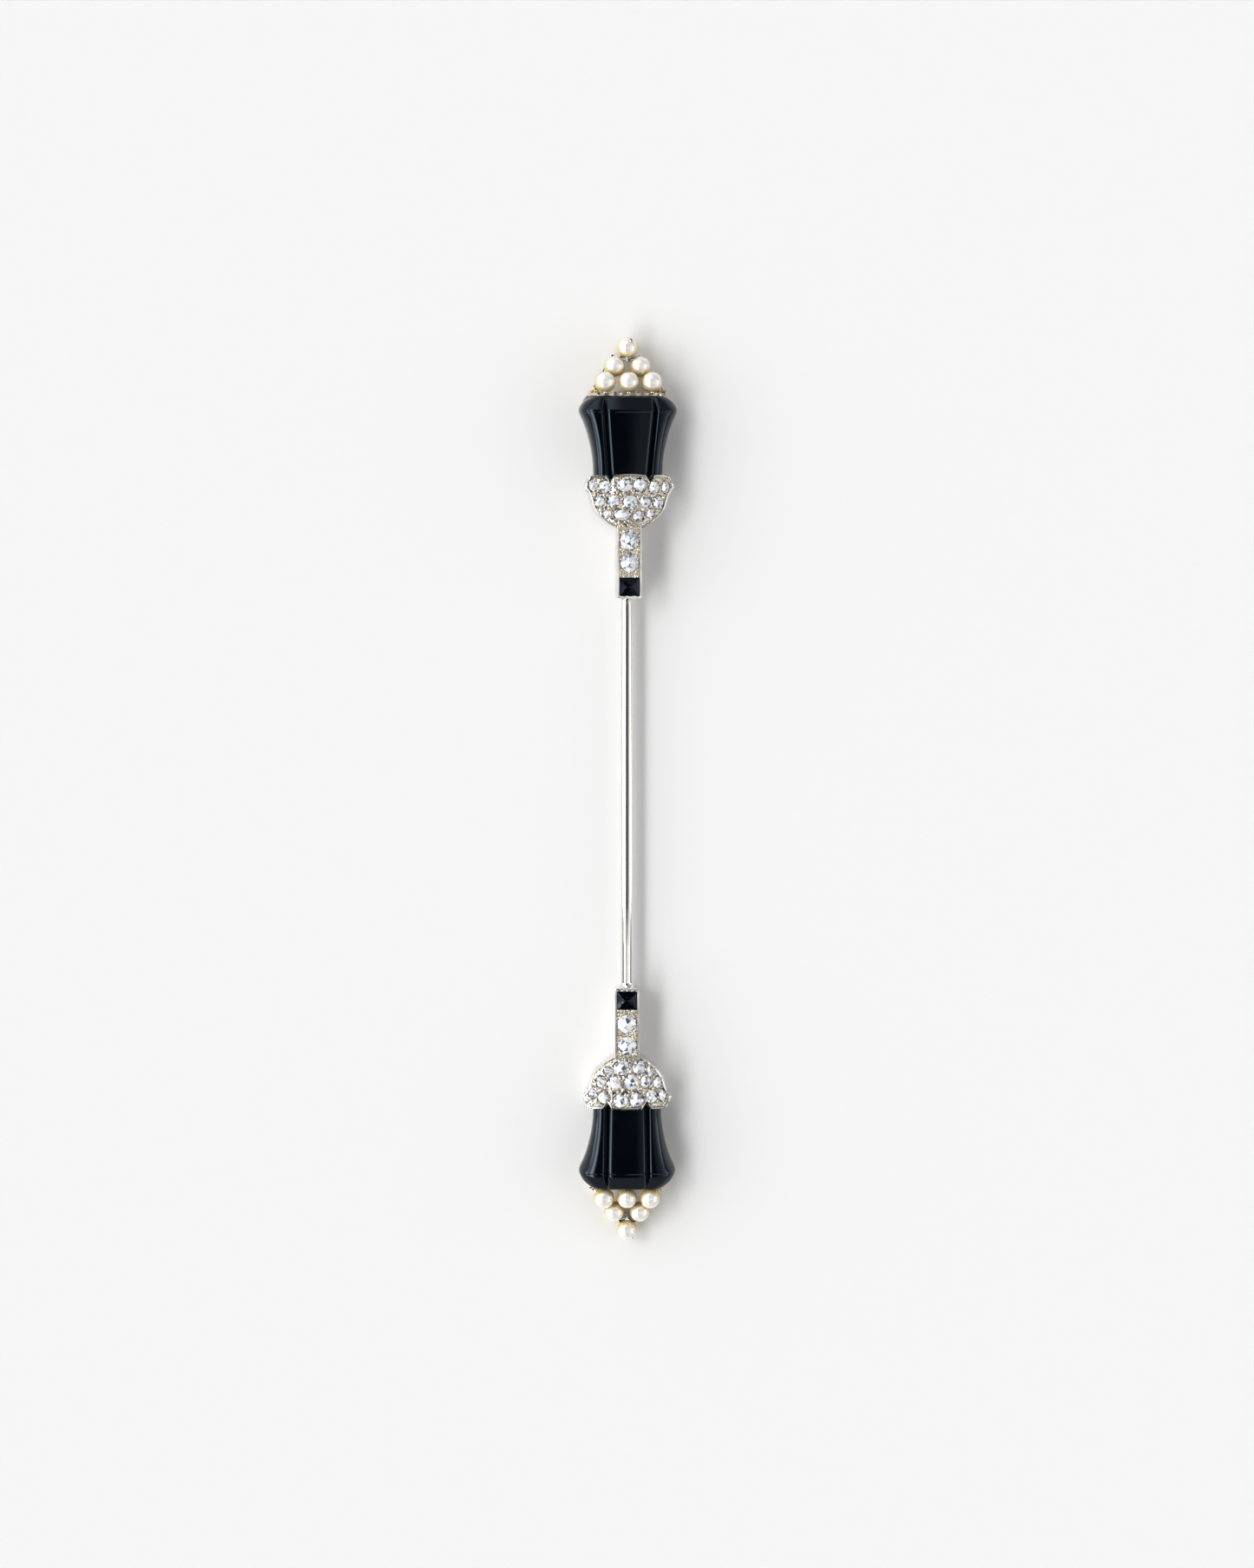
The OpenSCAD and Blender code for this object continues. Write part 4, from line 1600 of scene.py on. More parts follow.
    def claw_places(self, across: float, along: float, width: float, length: float) -> list[Matrix]:
        """Places of the claws round one small stone that lie on the field.

        Args:
            across: the stone's place across.
            along: its place along the end.
            width: its width.
            length: its length.

        Returns:
            A matrix for each claw.
        """
        places, start = [], self.rng.uniform(0, 2 * math.pi)
        for k in range(self.claws):
            angle = start + 0.4 * math.pi * (k + self.rng.uniform(-0.25, 0.25))
            x = across + 1.04 * width / 2 * math.cos(angle)
            y = along + 1.04 * length / 2 * math.sin(angle)
            if abs(x) < self.widths(y)[0] - self.band and y < self.along(0.94, x):
                size = self.rng.uniform(*self.claw_sizes)
                places.append(self.on_front(x, y, 0.06) @ Matrix.Diagonal((size, 0.8 * size, 0.26, 1)))
        return places

    def grains(self) -> Piece:
        """Grains of metal raised between the stones, as many as find room, and the stones' claws.

        Returns:
            Grains and claws as one piece.
        """
        places = []
        for x, y, size in scatter(self.rng, self.grain_tries, self.grain_spot, self.grain_room,
                                  self.grain_sizes):
            squeeze = self.rng.uniform(0.6, 1.0)
            turn = Euler((0, 0, self.rng.uniform(0, math.pi))).to_matrix().to_4x4()
            shape = Matrix.Diagonal((size, size * squeeze, 0.12 + size * 0.4, 1))
            places.append(self.on_front(x, y, 0.03) @ turn @ shape)
        for stone in self.end.stones:
            places += self.claw_places(*stone)
        return copies(self.end.node("calyx_beads"), grain_model("calyx_grain"), places, lumpy)

    def stones(self) -> Piece:
        """The small rose-cut stones, each with its own outline and turn.

        Returns:
            The stones as one piece.
        """
        places = []
        for across, along, width, length in self.end.stones:
            turn = Euler((0, 0, self.rng.uniform(0, math.pi / 3))).to_matrix().to_4x4()
            height = 0.2 + 0.12 * min(width, length)
            shape = Matrix.Diagonal((1.06 * width / 2, 1.06 * length / 2, height, 1))
            places.append(self.on_front(across, along, 0.02) @ shape @ turn)
        phases = [self.rng.uniform(0, 6) for _ in places]
        piece = copies(self.end.node("calyx_stones"), rose_cut_model("calyx_rose"), places,
                       lambda point, i: worn_outline(point, phases[i]))
        mark_facets(piece, "tone", self.rng)
        return piece

    def build(self) -> None:
        """Builds the bowl, its grains and its stones."""
        end, palette = self.end, self.palette
        shell = self.shell()
        bore_socket(shell, end)
        # the sunk field gets the grain-set metal, dark brown as painted shade between the grains
        for face in shell.data.polygons:
            middle = face.center
            inside = abs(middle.x) < self.widths(middle.y)[0] - self.band + 0.01
            in_field = inside and middle.y < self.along(self.shaded_field_to, middle.x) and face.normal.z > 0.1
            face.material_index = 1 if in_field else 0
        mount_metal(shell, end, [palette.polished, palette.grain], self.recess)
        mount_metal(self.grains(), end, [palette.bead])
        hand_over(self.stones(), end.place, end.body, [palette.stone],
                  end.node("grain_set_stones"), smooth=None)


# Onyx bell

@dataclass(frozen=True)
class BellSection:
    """One section of the onyx: its place along the end, half width, front height and groove.

    The groove has a place across, a half width and a depth, and its steps are shares of that half width.
    """

    y: float
    half: float
    front: float
    groove: float
    width: float
    depth: float
    crown_power: float = 2.4
    lobe_power: float = 3.0
    cut_power: float = 1.8
    cut_flat: float = 0.12
    groove_edge: float = 0.94
    crown_steps: int = 12
    lobe_steps: int = 22
    groove_steps: tuple[float, ...] = (-0.94, -0.85, -0.72, -0.58, -0.44, -0.3, -0.18, -0.08, 0.0, 0.08, 0.18,
                                       0.3, 0.44, 0.58, 0.72, 0.85)

    def skin(self, x: float) -> float:
        """Height of the front without its grooves.

        Args:
            x: place across.

        Returns:
            The height.
        """
        if x <= self.groove:
            return self.front - SIZES.crown_drop * (x / self.groove) ** self.crown_power
        lobe, wide = self.front - SIZES.crown_drop, SIZES.bell_wide
        share = min(1.0, (x - self.groove) / (self.half - self.groove))
        return wide + (lobe - wide) * (1 - share ** self.lobe_power) ** (1 / self.lobe_power)

    def cut(self, x: float) -> float:
        """How deep the groove is at a place across."""
        away = min(1.0, abs(x - self.groove) / self.width)
        return self.depth * (1 - away) ** self.cut_power * (1 - self.cut_flat * (1 - away))

    def ring(self) -> Ring:
        """The whole section, always with the same number of points.

        Returns:
            Its points from the middle of the back round to it again.
        """
        half, groove, width = self.half, self.groove, self.width
        xs = [groove * u * self.groove_edge - self.groove_edge * u * width for u in spread(self.crown_steps)]
        xs += [groove + width * u for u in self.groove_steps]
        first = math.asin((width / (half - groove)) ** (self.lobe_power / 2))
        turns = [first + t * (math.pi / 2 - first) for t in spread(self.lobe_steps)]
        xs += [groove + (half - groove) * math.sin(turn) ** (2 / self.lobe_power) for turn in turns]
        points = [(x, self.skin(x) - self.cut(x)) for x in xs]
        wide, back = SIZES.bell_wide, SIZES.plate_t + SIZES.seat_gap
        points += [(0.997 * half, wide - 0.12), (0.99 * half, wide - 0.3), (0.975 * half, back + 0.18),
                   (0.945 * half, back + 0.05), (0.9 * half, back), (0.0, back)]
        return mirrored_ring(points, self.y)


@dataclass
class OnyxBell:
    """The flared black onyx with three lobes, two grooves and a bevelled outer end.

    The flare's rows hold a share of the length and a share of the widening.
    """

    end: EndPlace
    palette: Palette
    flare: Table = ((0.0, 0.0), (0.2, 0.04), (0.38, 0.14), (0.55, 0.3), (0.7, 0.48), (0.83, 0.69),
                    (0.94, 0.92), (1.0, 1.0))
    body_steps: int = 44
    bevel_steps: int = 10
    softening: int = 3
    lean_from: float = 2.3
    lean_over: float = 0.8

    def foot(self) -> BellSection:
        """The narrow foot inside the calyx.

        Returns:
            Its section.
        """
        return BellSection(
            y=SIZES.rim_at - SIZES.foot_in, half=SIZES.neck_half - SIZES.foot_taper,
            front=SIZES.neck_front - SIZES.foot_taper, groove=SIZES.calyx_groove,
            width=SIZES.groove_w, depth=SIZES.groove_d)

    def body_section(self, share: float) -> BellSection:
        """A section of the flaring body, drawn in a little just before the ridge.

        Args:
            share: share of the way from the petals' rim to the ridge.

        Returns:
            The section.
        """
        flare = smooth_row(self.flare, share)[0]
        ease = max(0.0, (share - 0.965) / 0.035) ** 2
        rise = 0.25 * flare + 0.75 * share
        return BellSection(
            y=SIZES.rim_at + share * (SIZES.ridge_at - SIZES.rim_at),
            half=SIZES.neck_half + flare * (SIZES.ridge_half - SIZES.neck_half) - 0.02 * ease,
            front=SIZES.neck_front + rise * (SIZES.ridge_front - SIZES.neck_front) - 0.03 * ease,
            groove=SIZES.calyx_groove + share * (self.end.ridge_groove - SIZES.calyx_groove),
            width=SIZES.groove_w, depth=SIZES.groove_d)

    def bevel_section(self, share: float) -> BellSection:
        """A section of the bevel, where the grooves run out.

        Args:
            share: share of the way from the ridge to the outer end.

        Returns:
            The section.
        """
        ease = max(0.0, (share - 0.9) / 0.1) ** 2
        inwards = 0.35 * share + 0.65 * share ** 3
        return BellSection(
            y=SIZES.ridge_at + share * SIZES.bevel_len,
            half=SIZES.ridge_half - inwards * SIZES.bevel_in - 0.04 * ease,
            front=SIZES.ridge_front - 0.03 - share * SIZES.bevel_drop - 0.05 * ease,
            groove=self.end.ridge_groove * (1 - 0.05 * share),
            width=SIZES.groove_w * (1 - 0.2 * share), depth=SIZES.groove_d * (1 - 0.72 * share))

    def leaned(self, point: Vector) -> Vector:
        """Pushes the front of the outer end out over the end wall, as far as this end's own overhang.

        Args:
            point: a point of the plain bell.

        Returns:
            Where it goes.
        """
        rise = min(1.0, max(0.0, (point.z - self.lean_from) / self.lean_over))
        run = min(1.0, max(0.0, (point.y - SIZES.rim_at) / (SIZES.wall_in - SIZES.rim_at)))
        return point + Vector((0, self.end.overhang * rise * rise * (3 - 2 * rise) * run ** 2, 0))

    def build(self) -> None:
        """Lofts the bell and polishes it."""
        sections = [self.foot()] + [self.body_section(share) for share in spread(self.body_steps)]
        sections += [self.bevel_section(share) for share in spread(self.bevel_steps)[1:]]
        rings = [[self.leaned(point) for point in section.ring()] for section in sections]
        piece = loft(self.end.node("onyx_cut"), rings)
        with editing(piece):
            bpy.ops.mesh.select_all(action="SELECT")
            bpy.ops.mesh.vertices_smooth(factor=0.5, repeat=self.softening)
        hand_over(piece, self.end.place, self.end.body, [self.palette.onyx],
                  self.end.node("onyx_bell"), smooth=60)


# Back plate and pearl frame

@dataclass
class PearlFrame:
    """The back plate, the end wall, the rafters, the chevron and the pegs that carry the pearls.

    The three pearls lie by the wall, the two behind them and one at the tip. The cup is the profile of the
    tip peg's hollow end. Lengths are in millimetres, and the arms' slant is in degrees.
    """

    end: EndPlace
    palette: Palette
    three_half: float = 2.28
    three_z: float = 2.45
    two_half: float = 1.25
    two_z: float = 1.52
    tip_z: float = 1.4
    row_step: float = 1.52
    tip_step: float = 1.84
    rafter_w: float = 0.4
    arm_slant: float = 26.0
    arm_t: float = 0.28
    arm_len: float = 1.36
    arm_top: float = 0.275
    peg_past: float = 0.1
    wall_corner: float = 0.45
    wall_jags: int = 24
    tray_count: int = 26
    corner_count: int = 9
    corner_in: float = 0.75
    hollow_r: float = 0.125
    cup: Table = ((0.0, 0.19), (0.96, 0.19), (0.98, 0.27), (1.03, 0.26), (1.06, 0.2), (1.05, 0.13),
                  (0.98, 0.1), (0.96, 0.02))

    @property
    def three_at(self) -> float:
        """Place of the row of three pearls along the end."""
        return SIZES.wall_out + SIZES.seat_gap + SIZES.pearl_d / 2

    @property
    def two_at(self) -> float:
        """Place of the row of two."""
        return self.three_at + self.row_step

    @property
    def tip_at(self) -> float:
        """Place of the tip pearl."""
        return self.two_at + self.tip_step

    @property
    def chevron_at(self) -> float:
        """Place of the chevron's point."""
        slant = math.radians(self.arm_slant)
        return self.tip_at - (SIZES.pearl_d / 2 + SIZES.seat_gap + self.arm_t / 2) / math.cos(slant)

    @property
    def seats(self) -> dict[str, Vector]:
        """Middles of the six pearls by name.

        Returns:
            The row of three, the row of two and the tip.
        """
        three, two = self.three_half, self.two_half
        return {"left": Vector((-three, self.three_at, self.three_z)),
                "middle": Vector((0, self.three_at, self.three_z)),
                "right": Vector((three, self.three_at, self.three_z)),
                "second_left": Vector((-two, self.two_at, self.two_z)),
                "second_right": Vector((two, self.two_at, self.two_z)),
                "tip": Vector((0, self.tip_at, self.tip_z))}

    def plate(self) -> Piece:
        """The flat back with softened edges, following the calyx and the bell.

        Returns:
            The plate.
        """
        bell_len = SIZES.ridge_at - SIZES.rim_at
        table = ((SIZES.bar_len, 0.3 * SIZES.bar_w),
                 (SIZES.bar_len + 0.3 * SIZES.calyx_len, 0.6 * SIZES.calyx_half),
                 (SIZES.rim_at - 0.1 * SIZES.calyx_len, 0.78 * SIZES.calyx_half),
                 (SIZES.rim_at + 0.1 * bell_len, 0.9 * SIZES.neck_half),
                 (SIZES.rim_at + 0.5 * bell_len, 0.96 * SIZES.neck_half),
                 (SIZES.rim_at + 0.97 * bell_len, SIZES.plate_half),
                 (SIZES.ridge_at + 0.5 * SIZES.bevel_len, SIZES.plate_half),
                 (SIZES.wall_out, SIZES.wall_half))
        t, rings = SIZES.plate_t, []
        for share in spread(60):
            y = SIZES.bar_len + share * (SIZES.wall_out - SIZES.bar_len)
            half = smooth_row(table, y)[0]
            outline = [(0.0, t), (half - 0.09, t), (half - 0.03, t - 0.03), (half, t - 0.09), (half, 0.08),
                       (half - 0.08, 0.0), (0.0, 0.0)]
            rings.append(mirrored_ring(outline, y))
        return loft(self.end.node("back_plate"), rings)

    def wall(self) -> Piece:
        """The end wall, cut down at its corners and filed a little uneven along its top.

        Returns:
            The wall.
        """
        top = self.three_z + 0.7 * SIZES.peg_d
        corner, half, rings = self.wall_corner * top, SIZES.wall_half, []
        for share in spread(2):
            y = SIZES.wall_in + share * SIZES.wall_t
            ring = [Vector((-half, y, 0)), Vector((half, y, 0)), Vector((half, y, top - corner))]
            for u in spread(self.wall_jags):
                x = (half - 0.5 * corner) * (1 - 2 * u)
                jag = ripple(x, 0.05, 7.3, self.end.seed) + ripple(x, 0.03, 17.0)
                ring.append(Vector((x, y, top + jag * (1 if share < 1 else 0.4) - 0.03)))
            ring += [Vector((-half, y, top - corner)), Vector((-half, y, 0))]
            rings.append(ring)
        return loft(self.end.node("end_wall"), rings)

    def tray_grains(self) -> Piece:
        """Small lumps of metal along the outer edge of the wall's top, under the row of three.

        Returns:
            The lumps as one piece.
        """
        rng = random.Random(self.end.seed + 3)
        half, count, places = SIZES.wall_half - self.corner_in, self.tray_count, []
        for k in range(count):
            x = half * (2 * (k + rng.uniform(0.2, 0.8)) / count - 1)
            clear = min(abs(x - seat) for seat in (-self.three_half, 0.0, self.three_half))
            size = rng.uniform(0.2, 0.36)
            under, out = 0.5 if clear < 0.45 else 0.0, 0.1 if clear > 0.6 else 0.0
            rise = self.three_z + 0.12 - under + rng.uniform(-0.08, 0.08)
            spot = Vector((x, SIZES.wall_out - 0.04 + out, rise))
            places.append(placed(spot, size, 0.6 * size, size))
        for side in (-1, 1):
            for _ in range(self.corner_count):
                spot = Vector((side * rng.uniform(half, SIZES.wall_half - 0.05),
                               SIZES.wall_out + rng.uniform(-0.1, 0.25),
                               self.three_z - 1 + rng.uniform(-0.1, 0.1)))
                places.append(Matrix.Translation(spot) @ Matrix.Scale(rng.uniform(0.2, 0.34), 4))
        return copies(self.end.node("tray_grains"), grain_model("tray_grain"), places, lumpy)

    def rafter(self, side: int) -> Piece:
        """One rafter from the wall's foot to the chevron's arm.

        Args:
            side: -1 for left, 1 for right.

        Returns:
            The rafter.
        """
        slant = math.radians(self.arm_slant)
        foot = Vector((SIZES.wall_half - self.rafter_w / 2, SIZES.wall_in))
        head = Vector((self.arm_len * math.cos(slant), self.chevron_at + self.arm_len * math.sin(slant)))
        run = head - foot
        half, top = self.rafter_w / 2, 0.93 * SIZES.plate_t
        piece = block(f"rafter_{side}", Vector((-half, 0, 0)), Vector((half, run.length, top)))
        bevel_edges(piece, 0.06, 2, lambda edge: abs((edge.verts[1].co - edge.verts[0].co).y) > 0.5)
        turn = Matrix.Rotation(side * math.atan2(-run.x, run.y), 4, "Z")
        piece.data.transform(Matrix.Translation((side * foot.x, foot.y, 0)) @ turn)
        return piece

    def gusset(self, side: int) -> Piece:
        """The small triangular plate where a rafter meets the wall.

        Args:
            side: -1 for left, 1 for right.

        Returns:
            The gusset.
        """
        reach, top = 1.8 * self.rafter_w, self.three_z - SIZES.pearl_d / 2
        clear_selection()
        bpy.ops.mesh.primitive_circle_add(vertices=3, radius=1, fill_type="NGON")
        piece = bpy.context.object
        piece.name = f"gusset_{side}"
        corners = ((SIZES.wall_half, SIZES.wall_out - 0.05), (SIZES.wall_half - reach, SIZES.wall_out - 0.05),
                   (SIZES.wall_half - 0.6 * reach, SIZES.wall_out + 0.85 * reach))
        for point, (x, y) in zip(piece.data.vertices, corners):
            point.co = (side * x, y, 0)
        with editing(piece):
            bpy.ops.mesh.select_all(action="SELECT")
            bpy.ops.mesh.extrude_region_move(TRANSFORM_OT_translate={"value": (0, 0, top)})
            bpy.ops.mesh.inset(thickness=0.05, depth=0.04)
            bpy.ops.mesh.select_all(action="SELECT")
            bpy.ops.mesh.normals_make_consistent(inside=False)
        return piece

    def arm(self, side: int) -> Piece:
        """One arm of the chevron, scooped where the pearls nest in it.

        Args:
            side: -1 for left, 1 for right.

        Returns:
            The arm.
        """
        top, thick = self.tip_z + self.arm_top * SIZES.pearl_d, self.arm_t / 2
        piece = block(f"arm_{side}", Vector((-0.04, -thick, 0)), Vector((self.arm_len, thick, top)))
        for point in piece.data.vertices:
            if point.co.x > 1 and point.co.z > 1:
                point.co.x -= 0.3 * self.arm_len
        bevel_edges(piece, 0.05, 2, lambda edge: middle_of(edge).z > 0.3)
        slant = math.radians(self.arm_slant)
        turn = Matrix.Rotation(slant if side > 0 else math.pi - slant, 4, "Z")
        piece.data.transform(Matrix.Translation((0, self.chevron_at, 0)) @ turn)
        for place in (self.seats["second_left" if side < 0 else "second_right"], self.seats["tip"]):
            clear_selection()
            bpy.ops.mesh.primitive_uv_sphere_add(segments=40, ring_count=24,
                                                 radius=SIZES.pearl_d / 2 + SIZES.seat_gap, location=place)
            cut_away(piece, bpy.context.object)
        return piece

    def peg(self, start: Vector, run: Vector) -> Piece:
        """A peg from a seat along a run, with a domed head.

        Args:
            start: where it springs from.
            run: its length and direction.

        Returns:
            The peg.
        """
        profile = [(0.0, SIZES.peg_d / 2), (run.length - 0.1, SIZES.peg_d / 2),
                   (run.length - 0.03, 0.4 * SIZES.peg_d), (run.length, 0.2 * SIZES.peg_d)]
        piece = lathe("peg", profile, 0.0, sides=24)
        turn = Vector((0, 1, 0)).rotation_difference(run).to_matrix().to_4x4()
        piece.data.transform(Matrix.Translation(start) @ turn)
        return piece

    def second_seat(self, side: int) -> Vector:
        """Where the peg of a pearl of the row of two springs from the chevron's arm."""
        slant, half = math.radians(self.arm_slant), 0.5 * self.arm_len
        return Vector((side * half * math.cos(slant), self.chevron_at + half * math.sin(slant), self.two_z))

    def pegs(self) -> list[Piece]:
        """Pegs of the six pearls.

        Returns:
            The pegs and the hollow end of the tip's.
        """
        seats, past = self.seats, self.peg_past * SIZES.pearl_d
        reach = SIZES.wall_t / 2 + SIZES.seat_gap + SIZES.pearl_d / 2 + past
        parts = [self.peg(Vector((x, SIZES.wall_out - SIZES.wall_t / 2, self.three_z)), Vector((0, reach, 0)))
                 for x in (-self.three_half, 0, self.three_half)]
        for side, name in ((-1, "second_left"), (1, "second_right")):
            seat = self.second_seat(side)
            run = seats[name] - seat
            parts.append(self.peg(seat, run * (1 + past / run.length)))
        start, tip = Vector((0, self.chevron_at, self.tip_z)), seats["tip"]
        parts.append(self.peg(start, tip - start))
        cup = lathe("peg_end", self.cup, 0.0, sides=24)
        turn = Vector((0, 1, 0)).rotation_difference(Vector(self.end.peg_end)).to_matrix().to_4x4()
        cup.data.transform(Matrix.Translation(tip) @ turn)
        return parts + [cup]

    def cup_hollow_shade(self, point: Vector) -> float:
        """How dark the metal is painted at a point: painted shade, black in the hollow of the tip peg's end.

        Args:
            point: a point of the frame.

        Returns:
            1 in the hollow, 0 elsewhere.
        """
        axis = Vector(self.end.peg_end).normalized()
        away = point - self.seats["tip"]
        beside = (away - away.dot(axis) * axis).length
        return 1.0 if away.dot(axis) > 0.8 and beside < self.hollow_r else 0.0

    def build(self) -> None:
        """Builds the plate, the wall and the frame."""
        end, palette = self.end, self.palette
        mount_metal(self.plate(), end, [palette.back])
        wall = self.wall()
        for face in wall.data.polygons:
            face.material_index = 2 if face.normal.z > 0.5 else 1 if face.normal.y > 0.5 else 0
        mount_metal(wall, end, [palette.back, palette.gold, palette.bead])
        mount_metal(self.tray_grains(), end, [palette.gold])
        parts = [shape(side) for shape in (self.rafter, self.gusset, self.arm) for side in (-1, 1)]
        frame_piece = join(end.node("pearl_frame"), parts + self.pegs())
        # the frame's darkening is painted shade in the tip peg's hollow
        mount_metal(frame_piece, end, [palette.polished], self.cup_hollow_shade)
        self.pearls()

    def hole_way(self, name: str) -> Vector:
        """Which way a pearl's drilled hole faces.

        Args:
            name: the pearl's name.

        Returns:
            A vector from the pearl's middle towards its peg, or along the tip peg's hollow end.
        """
        if name == "tip":
            return Vector(self.end.peg_end)
        if name.startswith("second"):
            return self.second_seat(-1 if name == "second_left" else 1) - self.seats[name]
        return Vector((0, -1, 0))

    def pearls(self) -> None:
        """The six pearls, each at its node's place with its own slight unevenness."""
        rng = random.Random(self.end.seed + 7)
        for name, seat in self.seats.items():
            piece = drilled_pearl(self.end.node(f"{name}_pearl"), SIZES.pearl_d, SIZES.peg_d,
                                  rng.uniform(0, 6))
            turn = Vector((0, 0, 1)).rotation_difference(self.hole_way(name)).to_matrix().to_4x4()
            piece.data.transform(turn)
            # each pearl's painted golden reflection of the metal round it
            mark(piece, "painted_gold_reflection", self.painted_gold_reflection)
            piece.data.transform(Matrix.Translation(seat))
            hand_over(piece, self.end.place, self.end.body, [self.palette.pearl],
                      self.end.node(f"pearl_{name}"), smooth=60)

    @staticmethod
    def painted_gold_reflection(point: Vector) -> float:
        """How much painted golden reflection of the metal a pearl gets at a point about its middle: more
        towards the metal below and behind it.
        """
        way = point.normalized()
        return min(1.0, max(0.0, 0.78 - way.z - 0.3 * way.y) * 1.9)


def drilled_pearl(name: str, d: float, hole: float, phase: float) -> Piece:
    """A pearl drilled from +Z, a little uneven and worn flat round its hole.

    Args:
        name: name of the piece.
        d: diameter.
        hole: diameter of the peg that enters it.
        phase: makes each pearl its own.

    Returns:
        The pearl about the origin.
    """
    clear_selection()
    bpy.ops.mesh.primitive_uv_sphere_add(segments=56, ring_count=40, radius=d / 2)
    piece = bpy.context.object
    piece.name = piece.data.name = name
    worn = 0.1
    mouth = math.cos(math.asin((hole + worn) / d))
    with editing(piece):
        choose(piece, Pick.FACES, lambda face: face.calc_center_median().normalized().z > mouth)
        bpy.ops.mesh.inset(thickness=0.01, depth=-0.01)
        bpy.ops.mesh.extrude_region_move(TRANSFORM_OT_translate={"value": (0, 0, -0.62 * d)})
    for point in piece.data.vertices:
        way = point.co.normalized()
        if point.co.length > 0.45 * d:
            lump = ripple(way.x, 0.010, 3.1, 2.0 * phase) + ripple(way.y, 0.008, 4.3, phase)
            point.co *= 1.008 + (lump + ripple(way.z, 0.006, 5.2, -phase))
    return piece


# Clutch

@dataclass
class Clutch:
    """The gripping sleeve inside the slip-on end, kept as it is in the frame and given its metal."""

    palette: Palette

    def build(self) -> None:
        """Dresses the sleeve's node."""
        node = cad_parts["clutch_sleeve"]
        for slot in node.material_slots:
            slot.material = self.palette.wire
        log.info("clutch_sleeve: dressed")


# Studio

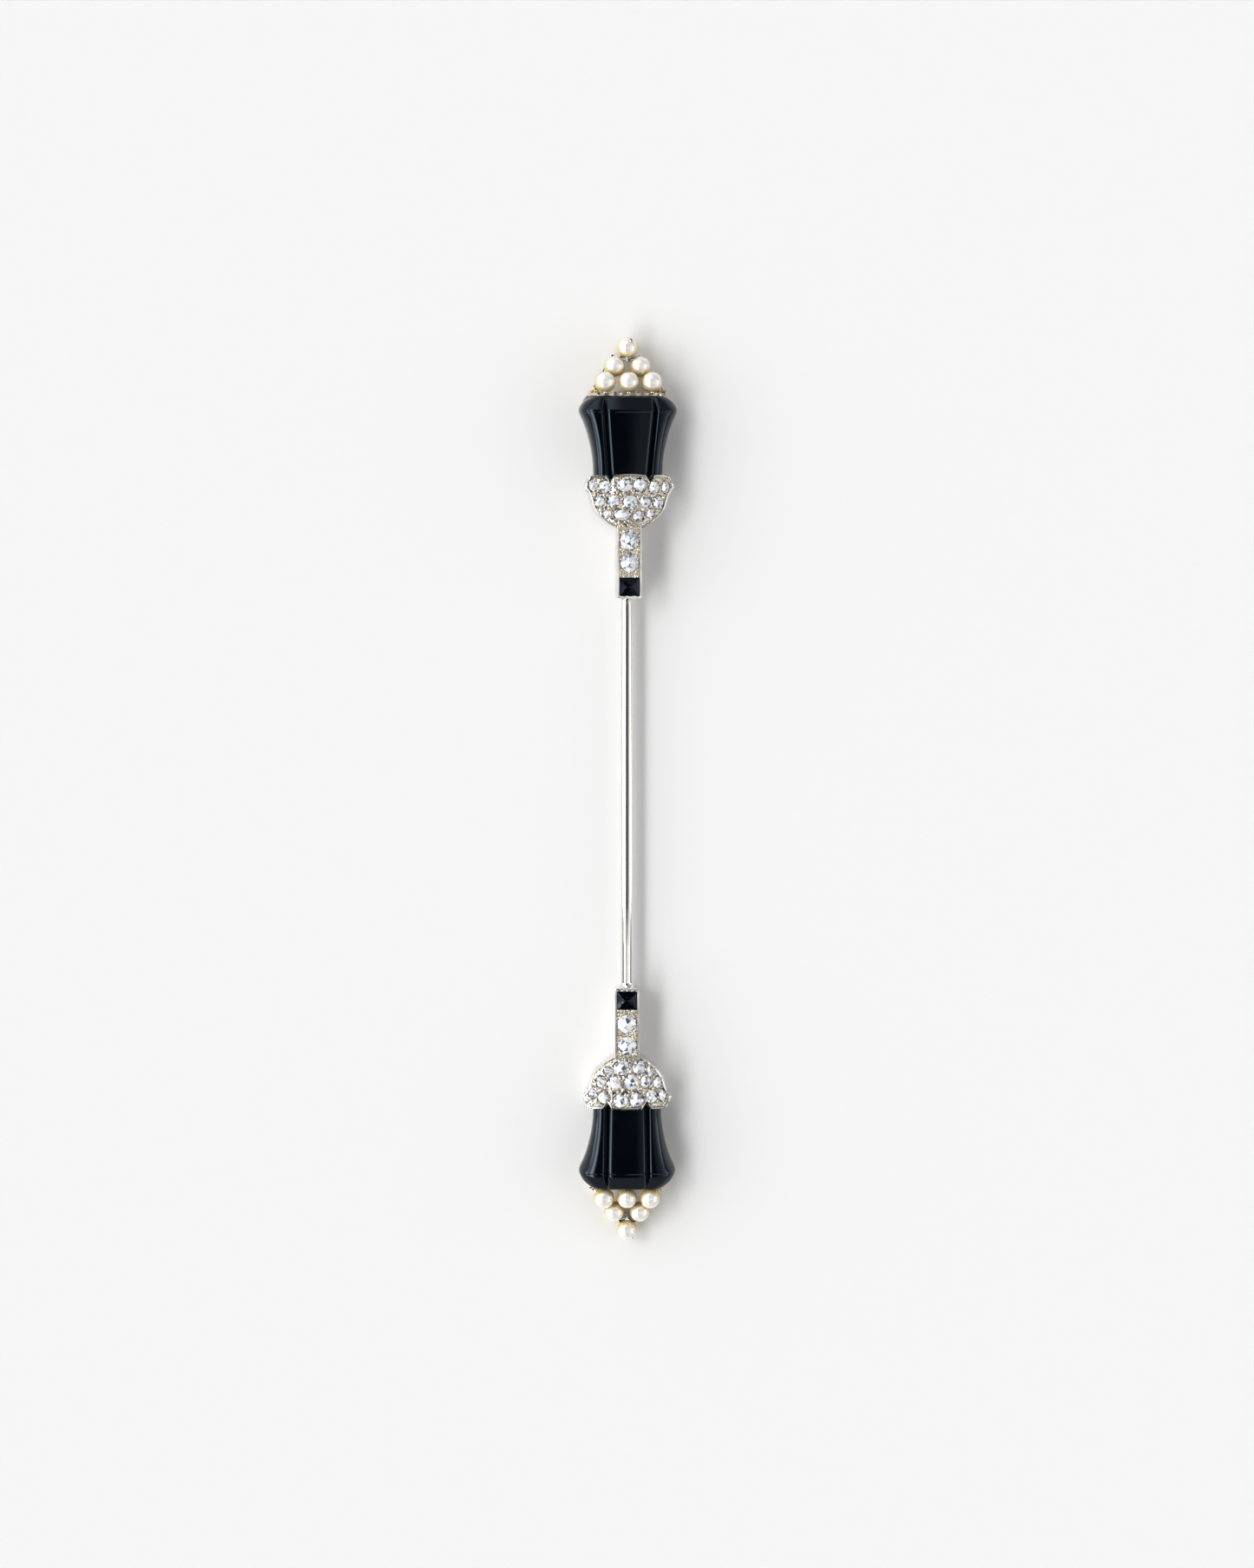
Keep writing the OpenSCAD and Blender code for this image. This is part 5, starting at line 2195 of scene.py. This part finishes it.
@dataclass(frozen=True)
class LightTent:
    """A light tent seen by direction: a bright left box, a dim right one, and dark cloth overhead.

    A narrow slot across the cloth lights the round wire. Angles are in degrees from straight up, towards
    +X (across) or towards +Y (along); brightness is the radiance that a mirror would show.
    """

    left: float = 8.95
    left_low: float = 2.2
    right: float = 0.4
    right_low: float = 1.2
    low_from: float = 43.0
    left_edge: float = 5.0
    right_edge: float = 3.2
    edge_from: float = 64.0
    head: float = 1.4
    dim: float = 0.5
    cloth: float = 0.04
    cloth_half: float = 24.0
    slot: float = 1.15
    slot_low: float = -9.5
    slot_high: float = -0.5
    seam_at: float = -7.0
    seam_half: float = 6.8
    side_limit: float = 86.0
    slot_limit: float = 65.0
    slot_dark: float = 0.04
    box_top: float = 38.0
    box_foot: float = -55.0
    head_from: float = 43.0
    head_to: float = 82.0
    head_half: float = 16.0
    head_right: float = 0.25
    soft: float = 2.0
    cloth_soft: float = 8.0
    edge_soft: float = 5.0
    box_soft: float = 4.0
    side_soft: float = 1.5
    slot_soft: float = 1.0
    horizon: float = -0.03
    seen: Colour = (0.93, 0.93, 0.93)

    def sides(self, nodes: Nodes, across: Socket, left: float, right: float) -> Socket:
        """One brightness left of the middle and another right of it."""
        return nodes.step(across, -self.soft, self.soft, left, right)

    def boxes(self, nodes: Nodes, across: Socket) -> Socket:
        """Brightness of the two boxes, their lower parts and edges, and the cloth between them.

        Args:
            nodes: the world's nodes.
            across: angle across.

        Returns:
            The brightness.
        """
        aside = nodes.math("ABSOLUTE", across)
        upper = self.sides(nodes, across, self.left, self.right)
        lower = self.sides(nodes, across, self.left_low, self.right_low)
        low = nodes.step(aside, self.low_from - self.cloth_soft, self.low_from + self.cloth_soft)
        edges = self.sides(nodes, across, self.left_edge, self.right_edge)
        edge = nodes.step(aside, self.edge_from - self.edge_soft, self.edge_from + self.edge_soft)
        cloth = nodes.between(across, self.seam_at - self.cloth_half, self.seam_at + self.cloth_half,
                              self.cloth_soft)
        lit = nodes.lay(nodes.lay(upper, low, lower), edge, edges)
        return nodes.lay(lit, cloth, self.cloth)

    def slot_light(self, nodes: Nodes, across: Socket) -> Socket:
        """Brightness of the slot, dark at the seam and towards its two ends.

        Args:
            nodes: the world's nodes.
            across: angle across.

        Returns:
            The brightness.
        """
        seam = nodes.between(across, self.seam_at - self.seam_half, self.seam_at + self.seam_half, self.soft)
        reach = nodes.between(across, -self.slot_limit, self.slot_limit, self.side_soft)
        return nodes.lay(self.slot_dark, reach, nodes.lay(self.slot, seam, self.slot_dark))

    def build(self) -> None:
        """Makes the world."""
        world = bpy.data.worlds.new("light_tent")
        bpy.context.scene.world = world
        world.use_nodes = True
        nodes = Nodes(world.node_tree)
        background = world.node_tree.nodes["Background"]
        way = nodes.add("ShaderNodeSeparateXYZ")
        nodes.link(nodes.add("ShaderNodeTexCoord").outputs["Generated"], way.inputs[0])
        x, y, z = way.outputs
        across = nodes.math("DEGREES", nodes.math("ARCTAN2", x, z))
        along = nodes.math("DEGREES", nodes.math("ARCTAN2", y, z))
        beside = nodes.between(across, -self.side_limit, self.side_limit, self.soft)
        length = nodes.between(along, self.box_foot, self.box_top, self.box_soft)
        total = nodes.lay(self.dim, nodes.math("MULTIPLY", beside, length), self.boxes(nodes, across))
        head = nodes.step(across, -self.head_half, self.head_half, self.head, self.head_right * self.head)
        ahead = nodes.between(along, self.head_from, self.head_to, self.box_soft)
        total = nodes.lay(total, ahead, head)
        lean = nodes.math("DEGREES", nodes.math("ARCSINE", y))
        opened = nodes.between(lean, self.slot_low, self.slot_high, self.slot_soft)
        total = nodes.lay(total, opened, self.slot_light(nodes, across))
        below = nodes.step(z, self.horizon, 0.0, 1.0, 0.0)
        camera = nodes.add("ShaderNodeLightPath").outputs["Is Camera Ray"]
        plain = nodes.math("MAXIMUM", below, camera)
        nodes.link(nodes.blend(plain, (1, 1, 1), self.seen), background.inputs["Color"])
        nodes.link(nodes.lay(total, plain, 1.0), background.inputs["Strength"])


@dataclass
class Studio:
    """The pale floor, the light and the camera at the photograph's angle."""

    floor_half: float = 0.6
    eye: Vector = field(default_factory=lambda: Vector((0.0, 0.03094, 0.360)))
    aim: Vector = field(default_factory=lambda: Vector((0.0, 0.00094, 0.002)))
    sensor: float = 36.0
    lens: float = 84.2

    def floor(self) -> None:
        """A wide plain floor just under the pin."""
        clear_selection()
        bpy.ops.mesh.primitive_plane_add(size=2 * self.floor_half, location=(0, 0, cad_box[0][2] - 0.00002))
        floor = bpy.context.object
        bpy.ops.object.transform_apply()
        floor.name = "floor"
        finish = Finish("pale_floor", Roughness=0.9, Specular_IOR_Level=0.1)
        finish.shader.inputs["Base Color"].default_value = (0.8, 0.8, 0.8, 1)
        floor.data.materials.append(finish.material)

    def camera(self) -> None:
        """A camera above the pin, a little towards the slip-on end."""
        lens = bpy.data.cameras.new("camera")
        lens.sensor_fit = "VERTICAL"
        lens.sensor_height = self.sensor
        lens.lens = self.lens
        lens.clip_start, lens.clip_end = 0.01, 10.0
        camera = bpy.data.objects.new("camera", lens)
        bpy.context.collection.objects.link(camera)
        camera.location = self.eye
        look = self.aim - self.eye
        camera.rotation_euler = (math.atan2(look.y, -look.z), 0, 0)
        bpy.context.scene.camera = camera

    def build(self) -> None:
        """Sets the camera, the floor and the light."""
        self.camera()
        self.floor()
        LightTent().build()
        bpy.context.scene.view_settings.view_transform = "Standard"
        bpy.context.scene.view_settings.look = "None"


def main() -> None:
    """Builds the studio and the pin, end by end."""
    clear_selection()
    Studio().build()
    palette = Palette()
    PinWire(palette).build()
    for end in (fixed_end(), slip_on_end()):
        Bar(end, palette).build()
        Calyx(end, palette).build()
        OnyxBell(end, palette).build()
        PearlFrame(end, palette).build()
    Clutch(palette).build()


if __name__ == "__main__":
    main()
